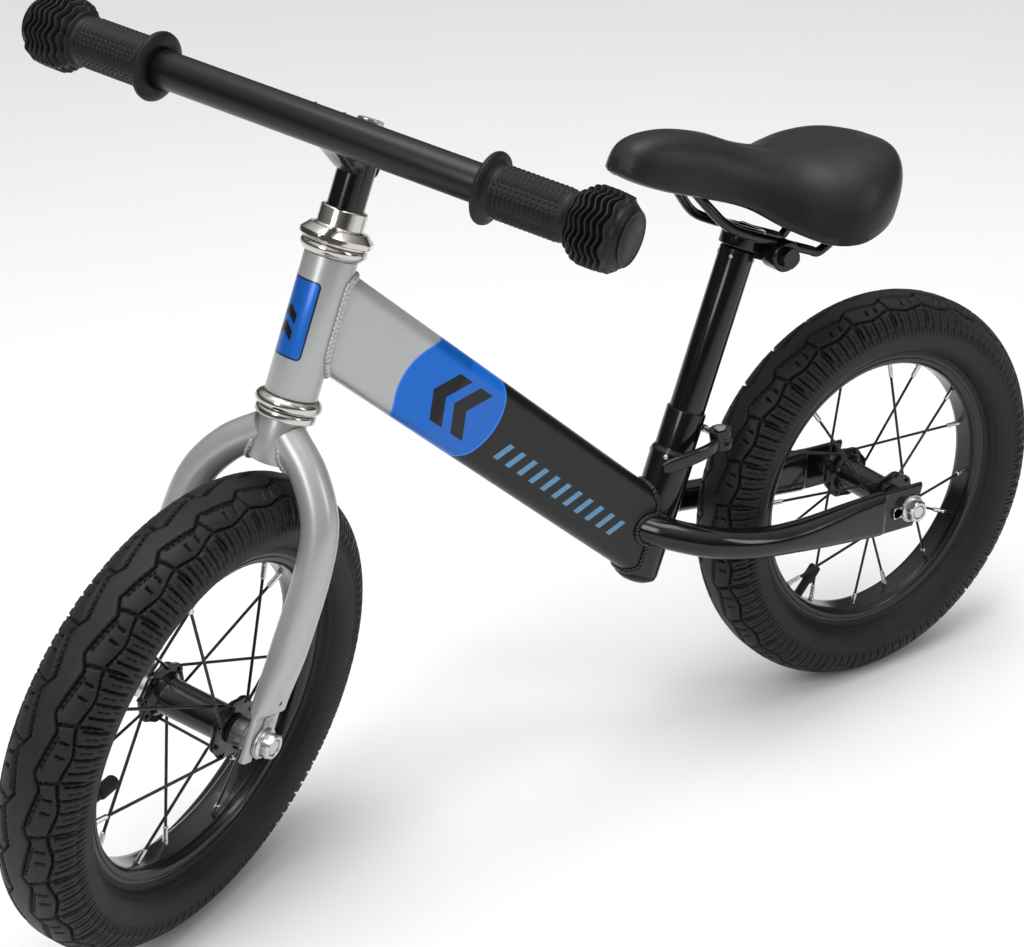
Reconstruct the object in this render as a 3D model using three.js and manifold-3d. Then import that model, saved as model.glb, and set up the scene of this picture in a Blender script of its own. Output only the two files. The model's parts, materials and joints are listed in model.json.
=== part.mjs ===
// A child's 12 inch balance bike. Millimetres, +X forward, +Y to the rider's left, +Z up.
// The origin is where the rear tyre meets the ground. The front wheel is turned to the left.

import * as THREE from 'three';
import { mergeVertices } from 'three/addons/utils/BufferGeometryUtils.js';
import Module from 'manifold-3d';

const wasm = await Module();
wasm.setup();

const DEG = Math.PI / 180;
const GAP = 0.3; // between pieces that touch

// ---- Driving dimensions ----

const wheel = {
  radius: 152, // to the tread
  tyreHalfWidth: 27,
  treadFlat: 7, // half width of the flat crown of the tread
  treadThickness: 4.5,
  sideThickness: 3,
  rimOuter: 109.3,
  rimInner: 98.5,
  rimHalfWidth: 12.7,
  rimWall: 1,
  beadSeat: 102.6,
  segments: 28,
  spokes: 16,
  spokeRadius: 1.1,
  nippleRadius: 2,
  nippleLength: 12,
  valveRadius: 3.4,
  valveEnd: 73, // distance of the valve cap's end from the axle
};

const hub = {
  barrelRadius: 11.5,
  flangeRadius: 20.5,
  flangeOuter: 28.3, // half the distance over the flanges
  flangeThickness: 3,
  bore: 6,
  spokeCircle: 17.5,
};

const axle = { radius: 4.8, coneRadius: 9, end: 57.5 };

const dropout = {
  inner: 43.8, // from the middle plane to the inside of the plate
  thickness: 4.4,
  slotRadius: 5.3,
};

const nut = { acrossFlats: 15, flangeRadius: 10.5, washerThickness: 1.8, outerFace: 58.1 };

// Degrees from forward towards up, of the first nipple on the left and of the valve.
const rearPhase = 7.6;
const rearValveAngle = -48.5;
const frontPhase = 13.5;
const frontValveAngle = -24;

const steering = {
  footX: 2 * wheel.radius + 226.9, // where the steering axis passes the front axle
  angle: 67.7, // degrees from the ground
  rest: 31.3, // degrees to the left of straight ahead
  rake: 3, // the front axle lies this far ahead of the steering axis
};

// Heights along the steering axis, measured from the front axle. The crown clears the tyre.
const crown = wheel.radius + 10;
const head = {
  crownBottom: crown,
  raceBottom: crown + 28,
  cupBottom: crown + 33,
  tubeBottom: crown + 41.5,
  tubeTop: crown + 127.5,
  lockBottom: crown + 135,
  lockTop: crown + 144.5,
  neckTop: crown + 156.4,
  bar: crown + 201.2,
  stemTop: crown + 203,
  quillBottom: crown + 92,
  tubeRadius: 15.9,
  tubeBore: 14.3,
  cupRadius: 20.3,
  lockRadius: 22.2,
  neckRadius: 14,
  steererRadius: 12.7,
  steererBore: 11.5,
  crownRadius: 14.3,
  quillRadius: 11.1,
  boltRadius: 4,
  wedgeSlope: 25, // degrees, of the cut between the quill and its wedge
};

// The blades bow out to `spread` each side of the wheel, and end as plates on the axle.
const blade = { radius: 11.2, wall: 1.6, plateWidth: 27, top: crown + 18, bottom: -12, spread: 48.6 };

const bar = { radius: 11.1, reach: 52.7, halfLength: 189.5, wall: 1.6 };

const grip = {
  flangeRadius: 20.5,
  flangeCentre: bar.halfLength - 79, // from the middle of the bar
  flangeThickness: 4,
  bodyRadius: 14.5,
  knobRadius: 22.4,
  knobStart: bar.halfLength - 28.5,
  end: bar.halfLength + 6,
};

const mainTube = {
  height: 58,
  width: 28,
  corner: 10,
  wall: 1.8,
  frontHeight: crown + 87.162, // where its centre line passes the back of the head tube
  rearHeight: -81.931, // and the front of the seat tube, below the clamp
  setback: 19.796, // of the first point from the head tube's axis
  offset: 24.369, // of the second from the seat tube's axis
  overrun: 40, // past both points, before it is cut to the tubes
};

// The seat tube's frame starts at the top of its clamp, with its own up along the tube.
const seat = {
  x: wheel.radius + 16.5,
  z: wheel.radius + 103.2,
  angle: 68.5, // degrees from the ground
  tubeRadius: 15.9,
  sleeveRadius: 14,
  sleeveStart: -27,
  tubeBottom: -118,
  plugBottom: -124,
  postRadius: 12.5,
  postBore: 10.9,
  postBottom: -70,
  postShoulder: 117,
  postTop: 134,
  clampHeight: 20,
  clampRadius: 15.9,
};

const lever = {
  skewerX: -21, // behind the seat tube's axis
  skewerZ: -10,
  pivotY: 19,
  slope: 29, // degrees the closed lever dips towards its tip
  camRadius: 8,
  camHeight: 13,
  length: 52,
  skewerRadius: 2.4,
  pinRadius: 2.5,
};

const stay = { radius: 11, wall: 1.5, plateHeight: 34 };

const saddle = {
  boltX: -20, // the clamp bolt, in the seat tube's frame
  boltZ: 122.5,
  boltRadius: 3.2,
  cupRadius: 11,
  cupInner: 12,
  cupOuter: 28,
  railRadius: 3.4,
  railSpread: 20.5,
  railZ: 7.3, // above the bolt, square to the post
  skinThickness: 6, // of the padding at the sides
  padThickness: 14, // and over the base
  baseThickness: 4,
};

// Half width, top and lower edge of the saddle at places along it, from the clamp bolt.
const saddleStations = [
  { x: -69, width: 26, top: 90, low: 73 },
  { x: -65, width: 41, top: 93.5, low: 60 },
  { x: -54, width: 57, top: 95, low: 47 },
  { x: -40, width: 65, top: 93, low: 35 },
  { x: -22, width: 68, top: 86, low: 24 },
  { x: -4, width: 62, top: 76.5, low: 18.5 },
  { x: 18, width: 45, top: 66.5, low: 20 },
  { x: 46, width: 31, top: 63, low: 26 },
  { x: 78, width: 24.5, top: 63, low: 25 },
  { x: 110, width: 22, top: 57.5, low: 23 },
  { x: 131, width: 17, top: 48, low: 24 },
  { x: 142, width: 8, top: 37, low: 27 },
];

// ---- Materials ----

function paint(colour, roughness, metalness) {
  return new THREE.MeshStandardMaterial({ color: colour, roughness, metalness });
}

const silverPaint = paint(0xb4b6b6, 0.4, 0.5);
const blackPaint = paint(0x121214, 0.25, 0.1);
const zinc = paint(0xc8cac8, 0.35, 0.9);
const chrome = paint(0xd8d8d8, 0.12, 1);
const steel = paint(0x8c8c8c, 0.4, 0.9);
const tyreRubber = paint(0x2a2a2b, 0.85, 0);
const gripRubber = paint(0x1b1b1c, 0.7, 0);
const blackPlastic = paint(0x161616, 0.5, 0);
const cover = paint(0x231f1e, 0.5, 0);

// ---- Solids ----

function toSolid(geometry) {
  const bare = geometry.clone();
  bare.deleteAttribute('normal');
  bare.deleteAttribute('uv');
  const merged = mergeVertices(bare, 1e-4);
  const index = merged.index.array;
  const corners = [];
  for (let i = 0; i < index.length; i += 3) {
    const [a, b, c] = [index[i], index[i + 1], index[i + 2]];
    if (a !== b && b !== c && c !== a) corners.push(a, b, c);
  }
  return new wasm.Manifold(new wasm.Mesh({
    numProp: 3,
    vertProperties: Float32Array.from(merged.attributes.position.array),
    triVerts: Uint32Array.from(corners),
  }));
}

function toGeometry(solid) {
  const mesh = solid.getMesh();
  const geometry = new THREE.BufferGeometry();
  geometry.setAttribute('position', new THREE.BufferAttribute(mesh.vertProperties, 3));
  geometry.setIndex(new THREE.BufferAttribute(mesh.triVerts, 1));
  return geometry;
}

function join(...pieces) {
  return toGeometry(pieces.map(toSolid).reduce((whole, piece) => whole.add(piece)));
}

function cut(body, ...tools) {
  return toGeometry(tools.map(toSolid).reduce((whole, tool) => whole.subtract(tool), toSolid(body)));
}

// A ring or disc turned about Y from [radius, y] points.
function turnedY(points, segments = 16) {
  let area = 0;
  points.forEach(([r, y], i) => {
    const [nextR, nextY] = points[(i + 1) % points.length];
    area += r * nextY - nextR * y;
  });
  const ordered = area > 0 ? points : [...points].reverse();
  const start = ordered.findIndex(([r], i) => r === 0 && ordered.at(i - 1)[0] === 0);
  const rotated = start > 0 ? [...ordered.slice(start), ...ordered.slice(0, start)] : ordered;
  const profile = rotated.map(([r, y]) => new THREE.Vector2(r, y));
  if (start < 0) profile.push(profile[0].clone());
  return toGeometry(toSolid(new THREE.LatheGeometry(profile, segments)));
}

// The same about Z, from [radius, z] points.
function turnedZ(points, segments = 18) {
  return turnedY(points, segments).rotateX(90 * DEG);
}

function discY(radius, from, to, segments = 16) {
  return turnedY([[0, from], [radius, from], [radius, to], [0, to]], segments);
}

function discZ(radius, from, to, segments = 18) {
  return turnedZ([[0, from], [radius, from], [radius, to], [0, to]], segments);
}

function pipeZ(outer, inner, from, to, segments = 18) {
  return turnedZ([[inner, from], [outer, from], [outer, to], [inner, to]], segments);
}

function block(x0, x1, y0, y1, z0, z1) {
  const box = new THREE.BoxGeometry(x1 - x0, y1 - y0, z1 - z0);
  return box.translate((x0 + x1) / 2, (y0 + y1) / 2, (z0 + z1) / 2);
}

function mirrorY(geometry) {
  return toGeometry(toSolid(geometry).mirror([0, 1, 0]));
}

// A round bar along a smooth curve.
function bentBar(points, radius, steps, sides = 8) {
  const path = new THREE.CatmullRomCurve3(points, false, 'centripetal');
  const section = new THREE.Shape();
  for (let i = 0; i < sides; i++) {
    const angle = (i / sides) * 2 * Math.PI;
    const [x, y] = [radius * Math.cos(angle), radius * Math.sin(angle)];
    if (i === 0) section.moveTo(x, y);
    else section.lineTo(x, y);
  }
  return new THREE.ExtrudeGeometry(section, { steps, extrudePath: path, curveSegments: 1 });
}

// A closed skin over rings of points, capped at the first and the last.
function skin(rings) {
  const count = rings[0].length;
  const positions = rings.flat().flatMap((p) => [p.x, p.y, p.z]);
  const index = [];
  for (let r = 0; r + 1 < rings.length; r++) {
    for (let i = 0; i < count; i++) {
      const j = (i + 1) % count;
      const [a, b, c, d] = [r * count + i, r * count + j, (r + 1) * count + j, (r + 1) * count + i];
      index.push(a, b, c, a, c, d);
    }
  }
  const last = (rings.length - 1) * count;
  for (let i = 1; i + 1 < count; i++) {
    index.push(0, i + 1, i);
    index.push(last, last + i, last + i + 1);
  }
  const geometry = new THREE.BufferGeometry();
  geometry.setAttribute('position', new THREE.Float32BufferAttribute(positions, 3));
  geometry.setIndex(index);
  return signedVolume(geometry) > 0 ? geometry : flipped(geometry);
}

function signedVolume(geometry) {
  const position = geometry.attributes.position;
  const corner = (i) => new THREE.Vector3().fromBufferAttribute(position, geometry.index.array[i]);
  let sum = 0;
  for (let i = 0; i < geometry.index.count; i += 3) {
    sum += corner(i).dot(corner(i + 1).cross(corner(i + 2)));
  }
  return sum / 6;
}

function flipped(geometry) {
  const index = geometry.index.array;
  for (let i = 0; i < index.length; i += 3) {
    [index[i + 1], index[i + 2]] = [index[i + 2], index[i + 1]];
  }
  return geometry;
}

// A tube whose far end is pressed flat into a plate. halfFlat is the plate's half height,
// which lies along `tall`, and flatStart and flatEnd are shares of the path's length.
function pressedTube({ points, tall, radius, wall, halfFlat, flatStart, flatEnd, steps = 12 }) {
  const path = new THREE.CatmullRomCurve3(points, false, 'centripetal');
  const outer = [];
  const inner = [];
  for (let i = 0; i <= steps; i++) {
    const at = i / steps;
    const centre = path.getPointAt(at);
    const along = path.getTangentAt(at);
    const across = new THREE.Vector3().crossVectors(along, tall).normalize();
    const up = new THREE.Vector3().crossVectors(across, along).normalize();
    const press = THREE.MathUtils.smoothstep(at, flatStart, flatEnd);
    const width = THREE.MathUtils.lerp(radius, dropout.thickness / 2, press);
    const height = THREE.MathUtils.lerp(radius, halfFlat, press);
    outer.push(stadium(centre, across, up, width, height));
    if (press < 0.3) inner.push(stadium(centre, across, up, width - wall, height - wall));
  }
  return skin([...inner.reverse(), ...outer]);
}

// A ring with two flat sides and round top and bottom.
function stadium(centre, across, up, width, height) {
  const ring = [];
  const arcSteps = 4;
  for (const side of [1, -1]) {
    for (let i = 0; i <= arcSteps; i++) {
      const angle = (i / arcSteps) * Math.PI + (side < 0 ? Math.PI : 0);
      ring.push(centre.clone()
        .addScaledVector(across, width * Math.cos(angle))
        .addScaledVector(up, side * (height - width) + width * Math.sin(angle)));
    }
  }
  return ring;
}

function named(name, geometry, material) {
  const mesh = new THREE.Mesh(geometry, material);
  mesh.name = name;
  return mesh;
}

const vec = (x, y, z) => new THREE.Vector3(x, y, z);

// ---- Wheels, about Y at the axle ----

function tyre() {
  const facet = 1 / Math.cos(Math.PI / wheel.segments); // so that the flats lie on the radius
  const side = wheel.tyreHalfWidth;
  const R = wheel.radius * facet;
  const half = [
    [R, wheel.treadFlat],
    [R - 7, side - 7],
    [R - 20, side - 0.4],
    [R - 36, side - 3],
    [wheel.rimOuter + 0.8, wheel.rimHalfWidth + 1],
    [wheel.rimOuter + 0.8, wheel.rimHalfWidth - wheel.rimWall - GAP],
    [wheel.beadSeat + 0.5, wheel.rimHalfWidth - wheel.rimWall - GAP],
    [wheel.beadSeat + 0.5, wheel.rimHalfWidth - wheel.rimWall - GAP - wheel.sideThickness],
    [wheel.rimOuter + 1.5, wheel.rimHalfWidth - wheel.sideThickness],
    [R - 33, side - 4 - wheel.sideThickness],
    [R - 20, side - 0.4 - wheel.sideThickness],
    [R - 11, side - 7 - wheel.sideThickness / 2],
    [R - wheel.treadThickness, wheel.treadFlat],
  ];
  const other = half.map(([r, y]) => [r, -y]).reverse();
  return turnedY([...half, ...other], wheel.segments).rotateY(Math.PI / wheel.segments);
}

function rim(valveAngle) {
  const { rimInner, rimOuter, beadSeat, rimHalfWidth, rimWall } = wheel;
  const half = [
    [rimInner, rimHalfWidth - 3.7],
    [rimInner + 2, rimHalfWidth],
    [rimOuter, rimHalfWidth],
    [rimOuter, rimHalfWidth - rimWall],
    [beadSeat, rimHalfWidth - rimWall],
    [beadSeat - 1.6, rimHalfWidth - 5.7],
  ];
  const other = half.map(([r, y]) => [r, -y]).reverse();
  const ring = turnedY([...half, ...other], wheel.segments).rotateY(Math.PI / wheel.segments);
  return cut(ring, radialRod(wheel.valveRadius + GAP, rimInner - 5, beadSeat + 5, valveAngle));
}

// A rod standing out from the axle in the wheel's plane, at an angle from forward towards up.
function radialRod(radius, from, to, angle, sides = 8) {
  return discZ(radius, from, to, sides).rotateY((90 - angle) * DEG);
}

// The inner tube with its valve and the valve's cap. It is hollow, and the bore opens its air.
function innerTube(valveAngle) {
  const ringRadius = wheel.radius - 25;
  const outer = 17.5;
  const inner = 16;
  const section = (radius) => {
    const points = [];
    const sides = 6;
    for (let i = 0; i < sides; i++) {
      const angle = ((i + 0.5) / sides) * 2 * Math.PI;
      points.push([ringRadius + radius * Math.cos(angle), radius * Math.sin(angle)]);
    }
    return points;
  };
  const ringSegments = 16;
  const { valveRadius, valveEnd } = wheel;
  const capLength = 14;
  const body = join(turnedY(section(outer), ringSegments),
    radialRod(valveRadius, valveEnd, ringRadius - outer + 5, valveAngle),
    radialRod(valveRadius + 1.2, valveEnd, valveEnd + capLength, valveAngle, 10));
  return cut(body, turnedY(section(inner), ringSegments),
    radialRod(1.2, valveEnd - 1, ringRadius, valveAngle, 6));
}

function hubShell() {
  const { bore, flangeRadius, flangeOuter, flangeThickness, barrelRadius } = hub;
  const half = [
    [bore, flangeOuter],
    [flangeRadius, flangeOuter],
    [flangeRadius, flangeOuter - flangeThickness],
    [barrelRadius + 2, flangeOuter - flangeThickness - 2],
    [barrelRadius, flangeOuter - flangeThickness - 7],
  ];
  return turnedY([...half, ...half.map(([r, y]) => [r, -y]).reverse()]);
}

// Two spokes of one flange that cross and touch, each with its nipple.
function spokePair(side, firstAngle) {
  const pitch = 720 / wheel.spokes; // between the spokes of one flange
  const rimEnd = wheel.rimInner * Math.cos(Math.PI / wheel.segments) - GAP - 0.8;
  const headY = side * (hub.flangeOuter + wheel.spokeRadius + 1.9);
  const rimY = side * 3;
  const at = (radius, y, angle) => vec(radius * Math.cos(angle * DEG), y, radius * Math.sin(angle * DEG));
  const spoke = (hubAngle, rimAngle) => {
    const from = at(hub.spokeCircle, headY, hubAngle);
    const to = at(rimEnd, rimY, rimAngle);
    const length = from.distanceTo(to);
    const wire = turnedY([[0, 0], [wheel.spokeRadius, 0],
      [wheel.spokeRadius, length - wheel.nippleLength],
      [wheel.nippleRadius, length - wheel.nippleLength],
      [wheel.nippleRadius, length], [0, length]], 5);
    const direction = to.clone().sub(from).normalize();
    wire.applyQuaternion(new THREE.Quaternion().setFromUnitVectors(vec(0, 1, 0), direction));
    return wire.translate(from.x, from.y, from.z);
  };
  return join(spoke(firstAngle, firstAngle + pitch), spoke(firstAngle + pitch, firstAngle));
}

function wheelPieces(prefix, phase, valveAngle) {
  const group = new THREE.Group();
  group.add(named(`${prefix}_tyre`, tyre(), tyreRubber));
  group.add(named(`${prefix}_inner_tube`, innerTube(valveAngle), tyreRubber));
  group.add(named(`${prefix}_rim`, rim(valveAngle), blackPaint));
  group.add(named(`${prefix}_hub`, hubShell(), blackPaint));
  const pairs = wheel.spokes / 4;
  for (const [side, word] of [[1, 'left'], [-1, 'right']]) {
    for (let i = 0; i < pairs; i++) {
      const angle = phase + (i * 360) / pairs + (side < 0 ? 360 / wheel.spokes : 0);
      group.add(named(`${prefix}_spokes_${word}_${i + 1}`, spokePair(side, angle), steel));
    }
  }
  return group;
}

// ---- Axles and their nuts, about Y at the axle ----

function axleWithCones() {
  const coneStart = hub.flangeOuter + 0.6;
  const coneEnd = dropout.inner - GAP;
  const half = [
    [axle.coneRadius - 2, coneStart],
    [axle.coneRadius, coneStart + 2],
    [axle.coneRadius, coneEnd],
    [axle.radius, coneEnd],
    [axle.radius, axle.end],
  ];
  const lower = half.map(([r, y]) => [r, -y]).reverse();
  return turnedY([[0, -axle.end], ...lower, [axle.radius, -coneStart], [axle.radius, coneStart],
    ...half, [0, axle.end]], 16);
}

// A flanged nut on its tab washer. The tab points along the given angle, from forward to up.
function axleNut(tabAngle) {
  const washerFrom = dropout.inner + dropout.thickness + GAP;
  const nutFrom = washerFrom + nut.washerThickness;
  const washer = discY(nut.flangeRadius, washerFrom, nutFrom, 16);
  const tab = block(0, 18, washerFrom, nutFrom, -4.5, 4.5).rotateY(-tabAngle * DEG);
  const flange = discY(nut.flangeRadius - 0.8, nutFrom - 0.5, nutFrom + 2, 16);
  const hexRadius = nut.acrossFlats / 2 / Math.cos(30 * DEG);
  const hex = discY(hexRadius, nutFrom, nut.outerFace, 6);
  const hole = discY(axle.radius + GAP, washerFrom - 1, nut.outerFace + 1, 12);
  return cut(join(washer, tab, flange, hex), hole);
}

// ---- Fork, handlebar: z along the steering axis, x forward, from the axle's height ----

function forkSteerer() {
  return turnedZ([
    [head.steererBore, head.crownBottom],
    [head.crownRadius, head.crownBottom],
    [head.crownRadius, head.raceBottom - GAP],
    [head.steererRadius, head.raceBottom - GAP],
    [head.steererRadius, head.neckTop - 8],
    [head.steererBore, head.neckTop - 8],
  ], 18);
}

function forkBlade(side) {
  const { spread, top, bottom } = blade;
  const plate = dropout.inner + dropout.thickness / 2;
  const path = [
    [8, top], [29, crown + 0.5], [44, crown - 23], [spread, crown - 50], [spread - 0.4, 60],
    [plate, 22], [plate, bottom],
  ].map(([y, z]) => vec(steering.rake, side * y, z));
  const tube = pressedTube({
    points: path,
    tall: vec(1, 0, 0),
    radius: blade.radius,
    wall: blade.wall,
    halfFlat: blade.plateWidth / 2,
    flatStart: 0.62,
    flatEnd: 0.84,
  });
  const slot = block(steering.rake - dropout.slotRadius, steering.rake + dropout.slotRadius,
    side * plate - 10, side * plate + 10, bottom - 10, 0);
  const seatCut = discY(dropout.slotRadius, -70, 70, 16).translate(steering.rake, 0, 0);
  return cut(tube, discZ(head.crownRadius + GAP, crown - 22, crown + 58, 18), slot, seatCut);
}

function crownRace() {
  return pipeZ(18.3, head.steererRadius + GAP, head.raceBottom, head.cupBottom - GAP);
}

function locknut() {
  const { lockBottom, lockTop, neckTop, lockRadius, neckRadius, steererRadius, quillRadius } = head;
  return turnedZ([
    [steererRadius + GAP, lockBottom],
    [lockRadius - 3, lockBottom],
    [lockRadius, lockBottom + 3],
    [lockRadius, lockBottom + 4.5],
    [lockRadius - 4, lockTop],
    [neckRadius, lockTop],
    [neckRadius, neckTop],
    [quillRadius + GAP, neckTop],
    [quillRadius + GAP, neckTop - 7.5],
    [steererRadius + GAP, neckTop - 7.5],
  ], 18);
}

function stem() {
  const { quillRadius, quillBottom, stemTop, boltRadius } = head;
  const quill = discZ(quillRadius, quillBottom, stemTop, 20);
  const neck = new THREE.Shape([
    [-quillRadius + 1, head.bar - 22],
    [quillRadius, head.bar - 28],
    [bar.reach - 6, head.bar - 14],
    [bar.reach - 6, head.bar + 9],
    [quillRadius + 1, stemTop],
    [-quillRadius + 1, stemTop],
  ].map(([x, z]) => new THREE.Vector2(x, z)));
  const halfWidth = 9;
  const arm = new THREE.ExtrudeGeometry(neck, { depth: 2 * halfWidth, bevelEnabled: false })
    .translate(0, 0, -halfWidth).rotateX(90 * DEG);
  const slope = block(-40, 40, -20, 20, -40, 0).rotateY(head.wedgeSlope * DEG).translate(0, 0, quillBottom + 6);
  return cut(join(quill, arm), slope, barAt(bar.radius + GAP),
    discZ(boltRadius + 0.5, quillBottom - 10, stemTop + 1, 12));
}

// A round bar where the handlebar is.
function barAt(radius) {
  return discY(radius, -bar.halfLength, bar.halfLength, 20).translate(bar.reach, 0, head.bar);
}

function handlebar() {
  return cut(barAt(bar.radius),
    discY(bar.radius - bar.wall, -bar.halfLength - 1, bar.halfLength + 1, 12)
      .translate(bar.reach, 0, head.bar));
}

// The wedge under the quill shares its slanted face.
function stemWedge() {
  const slope = block(-40, 40, -20, 20, 0, 60).rotateY(head.wedgeSlope * DEG)
    .translate(0, 0, head.quillBottom + 6 - GAP / Math.cos(head.wedgeSlope * DEG));
  const body = discZ(head.quillRadius, head.quillBottom - 22, head.quillBottom + 14, 20);
  return cut(body, slope, discZ(head.boltRadius + GAP, head.quillBottom - 30, head.quillBottom + 20, 12));
}

function stemBolt() {
  const shaft = discZ(head.boltRadius, head.quillBottom - 20, head.stemTop + 3, 10);
  const flange = discZ(10.5, head.stemTop + GAP, head.stemTop + 2.3, 16);
  const hex = discZ(7.5, head.stemTop + GAP, head.stemTop + 7, 6);
  return join(shaft, flange, hex);
}

function handGrip(side) {
  const { flangeRadius, flangeCentre, flangeThickness, bodyRadius, knobRadius, knobStart, end } = grip;
  const bore = bar.radius + GAP;
  const profile = [
    [bore, flangeCentre - flangeThickness / 2],
    [flangeRadius - 1, flangeCentre - flangeThickness / 2],
    [flangeRadius, flangeCentre],
    [flangeRadius - 1, flangeCentre + flangeThickness / 2],
    [bodyRadius, flangeCentre + flangeThickness / 2 + 1],
    [bodyRadius, knobStart - 2],
    [knobRadius - 3, knobStart + 1],
    [knobRadius, knobStart + 12],
    [knobRadius - 1, end - 10],
    [15, end],
    [0, end],
    [0, bar.halfLength + GAP],
    [bore, bar.halfLength + GAP],
  ];
  const turned = turnedY(profile.map(([r, y]) => [r, side * y]), 20);
  return turned.translate(bar.reach, 0, head.bar);
}

// ---- Frame ----

function headTube() {
  return pipeZ(head.tubeRadius, head.tubeBore, head.tubeBottom, head.tubeTop);
}

function lowerCup() {
  const { cupBottom, tubeBottom, cupRadius, steererRadius } = head;
  const top = tubeBottom - GAP;
  return turnedZ([
    [steererRadius + 1, cupBottom],
    [cupRadius - 2.5, cupBottom],
    [cupRadius, cupBottom + 2.6],
    [cupRadius, top - 2.6],
    [cupRadius - 2.5, top],
    [steererRadius + 1, top],
  ], 18);
}

function upperCup() {
  const { tubeTop, lockBottom, steererRadius } = head;
  return turnedZ([
    [steererRadius + 1, tubeTop + GAP],
    [17, tubeTop + GAP],
    [20, tubeTop + 3.5],
    [20, lockBottom - GAP],
    [steererRadius + 1, lockBottom - GAP],
  ], 18);
}

function roundedBar(height, width, corner, length) {
  const [h, w] = [height / 2, width / 2];
  const section = new THREE.Shape();
  section.absarc(w - corner, h - corner, corner, 0, 90 * DEG);
  section.absarc(-w + corner, h - corner, corner, 90 * DEG, 180 * DEG);
  section.absarc(-w + corner, -h + corner, corner, 180 * DEG, 270 * DEG);
  section.absarc(w - corner, -h + corner, corner, 270 * DEG, 360 * DEG);
  return new THREE.ExtrudeGeometry(section, { depth: length, bevelEnabled: false, curveSegments: 4 });
}

// A solid bar from the seat tube to the head tube, grown by `extra` all round.
function mainTubeSolid(extra) {
  const { frontHeight, rearHeight, setback, offset, height, width, corner, overrun } = mainTube;
  const front = vec(-setback, 0, frontHeight).applyMatrix4(headMatrix);
  const rear = vec(offset, 0, rearHeight).applyMatrix4(seatMatrix);
  const rise = Math.atan2(front.z - rear.z, front.x - rear.x);
  const length = front.distanceTo(rear) + 2 * overrun;
  return roundedBar(height + 2 * extra, width + 2 * extra, corner + extra, length)
    .rotateX(90 * DEG).rotateZ(90 * DEG)
    .translate(-overrun, 0, 0).rotateY(-rise).translate(rear.x, 0, rear.z);
}

// The space that the seat tube takes, for what is cut to fit against it.
function seatTubeSpace() {
  return discZ(seat.tubeRadius + GAP, -200, 60, 18).applyMatrix4(seatMatrix);
}

function mainTubeShell() {
  const reach = 2 * mainTube.overrun;
  const [low, high] = [crown - 12, crown + 178];
  const headCut = discZ(head.tubeRadius + GAP, low, high, 18).applyMatrix4(headMatrix);
  const headBeyond = block(0, reach, -40, 40, low, high).applyMatrix4(headMatrix);
  const seatBeyond = block(-reach, 0, -40, 40, -200, 60).applyMatrix4(seatMatrix);
  return cut(mainTubeSolid(0), mainTubeSolid(-mainTube.wall), headCut, headBeyond, seatTubeSpace(),
    seatBeyond);
}

function seatTube() {
  const { tubeRadius, sleeveRadius, sleeveStart, tubeBottom, postRadius } = seat;
  const bore = postRadius + GAP;
  const lowBore = tubeRadius - 1.6;
  const tube = turnedZ([
    [lowBore, tubeBottom],
    [tubeRadius, tubeBottom],
    [tubeRadius, sleeveStart - 2],
    [sleeveRadius, sleeveStart + 1],
    [sleeveRadius, 1.5],
    [bore, 1.5],
    [bore, sleeveStart - 6],
    [lowBore, sleeveStart - 8],
  ], 18);
  return cut(tube, block(-20, 0, -1.2, 1.2, sleeveStart + 4, 5));
}

function seatTubePlug() {
  const { tubeRadius, tubeBottom, plugBottom } = seat;
  return turnedZ([
    [0, plugBottom],
    [tubeRadius - 6, plugBottom],
    [tubeRadius - 1, plugBottom + 3],
    [tubeRadius - 0.5, tubeBottom - GAP],
    [tubeRadius - 1.6 - GAP, tubeBottom - GAP],
    [tubeRadius - 1.6 - GAP, tubeBottom + 5],
    [0, tubeBottom + 5],
  ], 20);
}

function seatClamp() {
  const { clampRadius, clampHeight, sleeveRadius } = seat;
  const { skewerX, skewerZ, skewerRadius } = lever;
  const earReach = 7.5;
  const band = discZ(clampRadius, -clampHeight, 0, 18);
  const ears = join(block(skewerX, 0, -9.5, 9.5, skewerZ - earReach, skewerZ + earReach),
    discY(earReach, -9.5, 9.5, 14).translate(skewerX, 0, skewerZ));
  return cut(join(band, ears), discZ(sleeveRadius + GAP, -clampHeight - 1, 1, 18),
    block(skewerX - 20, 0, -1.5, 1.5, -clampHeight - 1, 1),
    discY(skewerRadius + GAP, -20, 20, 10).translate(skewerX, 0, skewerZ));
}

// The lever's own frame: x towards its tip when closed, z up the cam pin.
function leverFrame(geometry) {
  return geometry.rotateY(lever.slope * DEG)
    .translate(lever.skewerX, lever.pivotY, lever.skewerZ);
}

function clampSkewer() {
  const { skewerX, skewerZ, skewerRadius, pivotY, pinRadius, camHeight } = lever;
  const middle = -camHeight / 2;
  const pin = leverFrame(join(discZ(pinRadius, middle - camHeight / 2 - GAP, camHeight / 2 + 1, 10),
    discZ(4.3, camHeight / 2 + GAP, camHeight / 2 + 2, 12)));
  const rod = discY(skewerRadius, -15, pivotY, 10).translate(skewerX, 0, skewerZ);
  const foot = discY(6.5, -15, -9.5 - GAP, 12).translate(skewerX, 0, skewerZ);
  return join(rod, foot, pin);
}

function clampLever() {
  const { camRadius, camHeight, length, pinRadius, skewerRadius } = lever;
  const half = camHeight / 2;
  const cam = discZ(camRadius, -half, half, 16);
  const path = [vec(3, 2, -1), vec(14, 6.5, -1), vec(32, 7, -1), vec(length, 4.5, -1)];
  const arm = pressedArm(path);
  const gate = skewerRadius + 0.5;
  return leverFrame(cut(join(cam, arm),
    block(-camRadius - 1, gate, -camRadius - 1, camRadius + 1, -gate, gate),
    discZ(pinRadius + GAP, -half - 1, half + 1, 12)));
}

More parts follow.
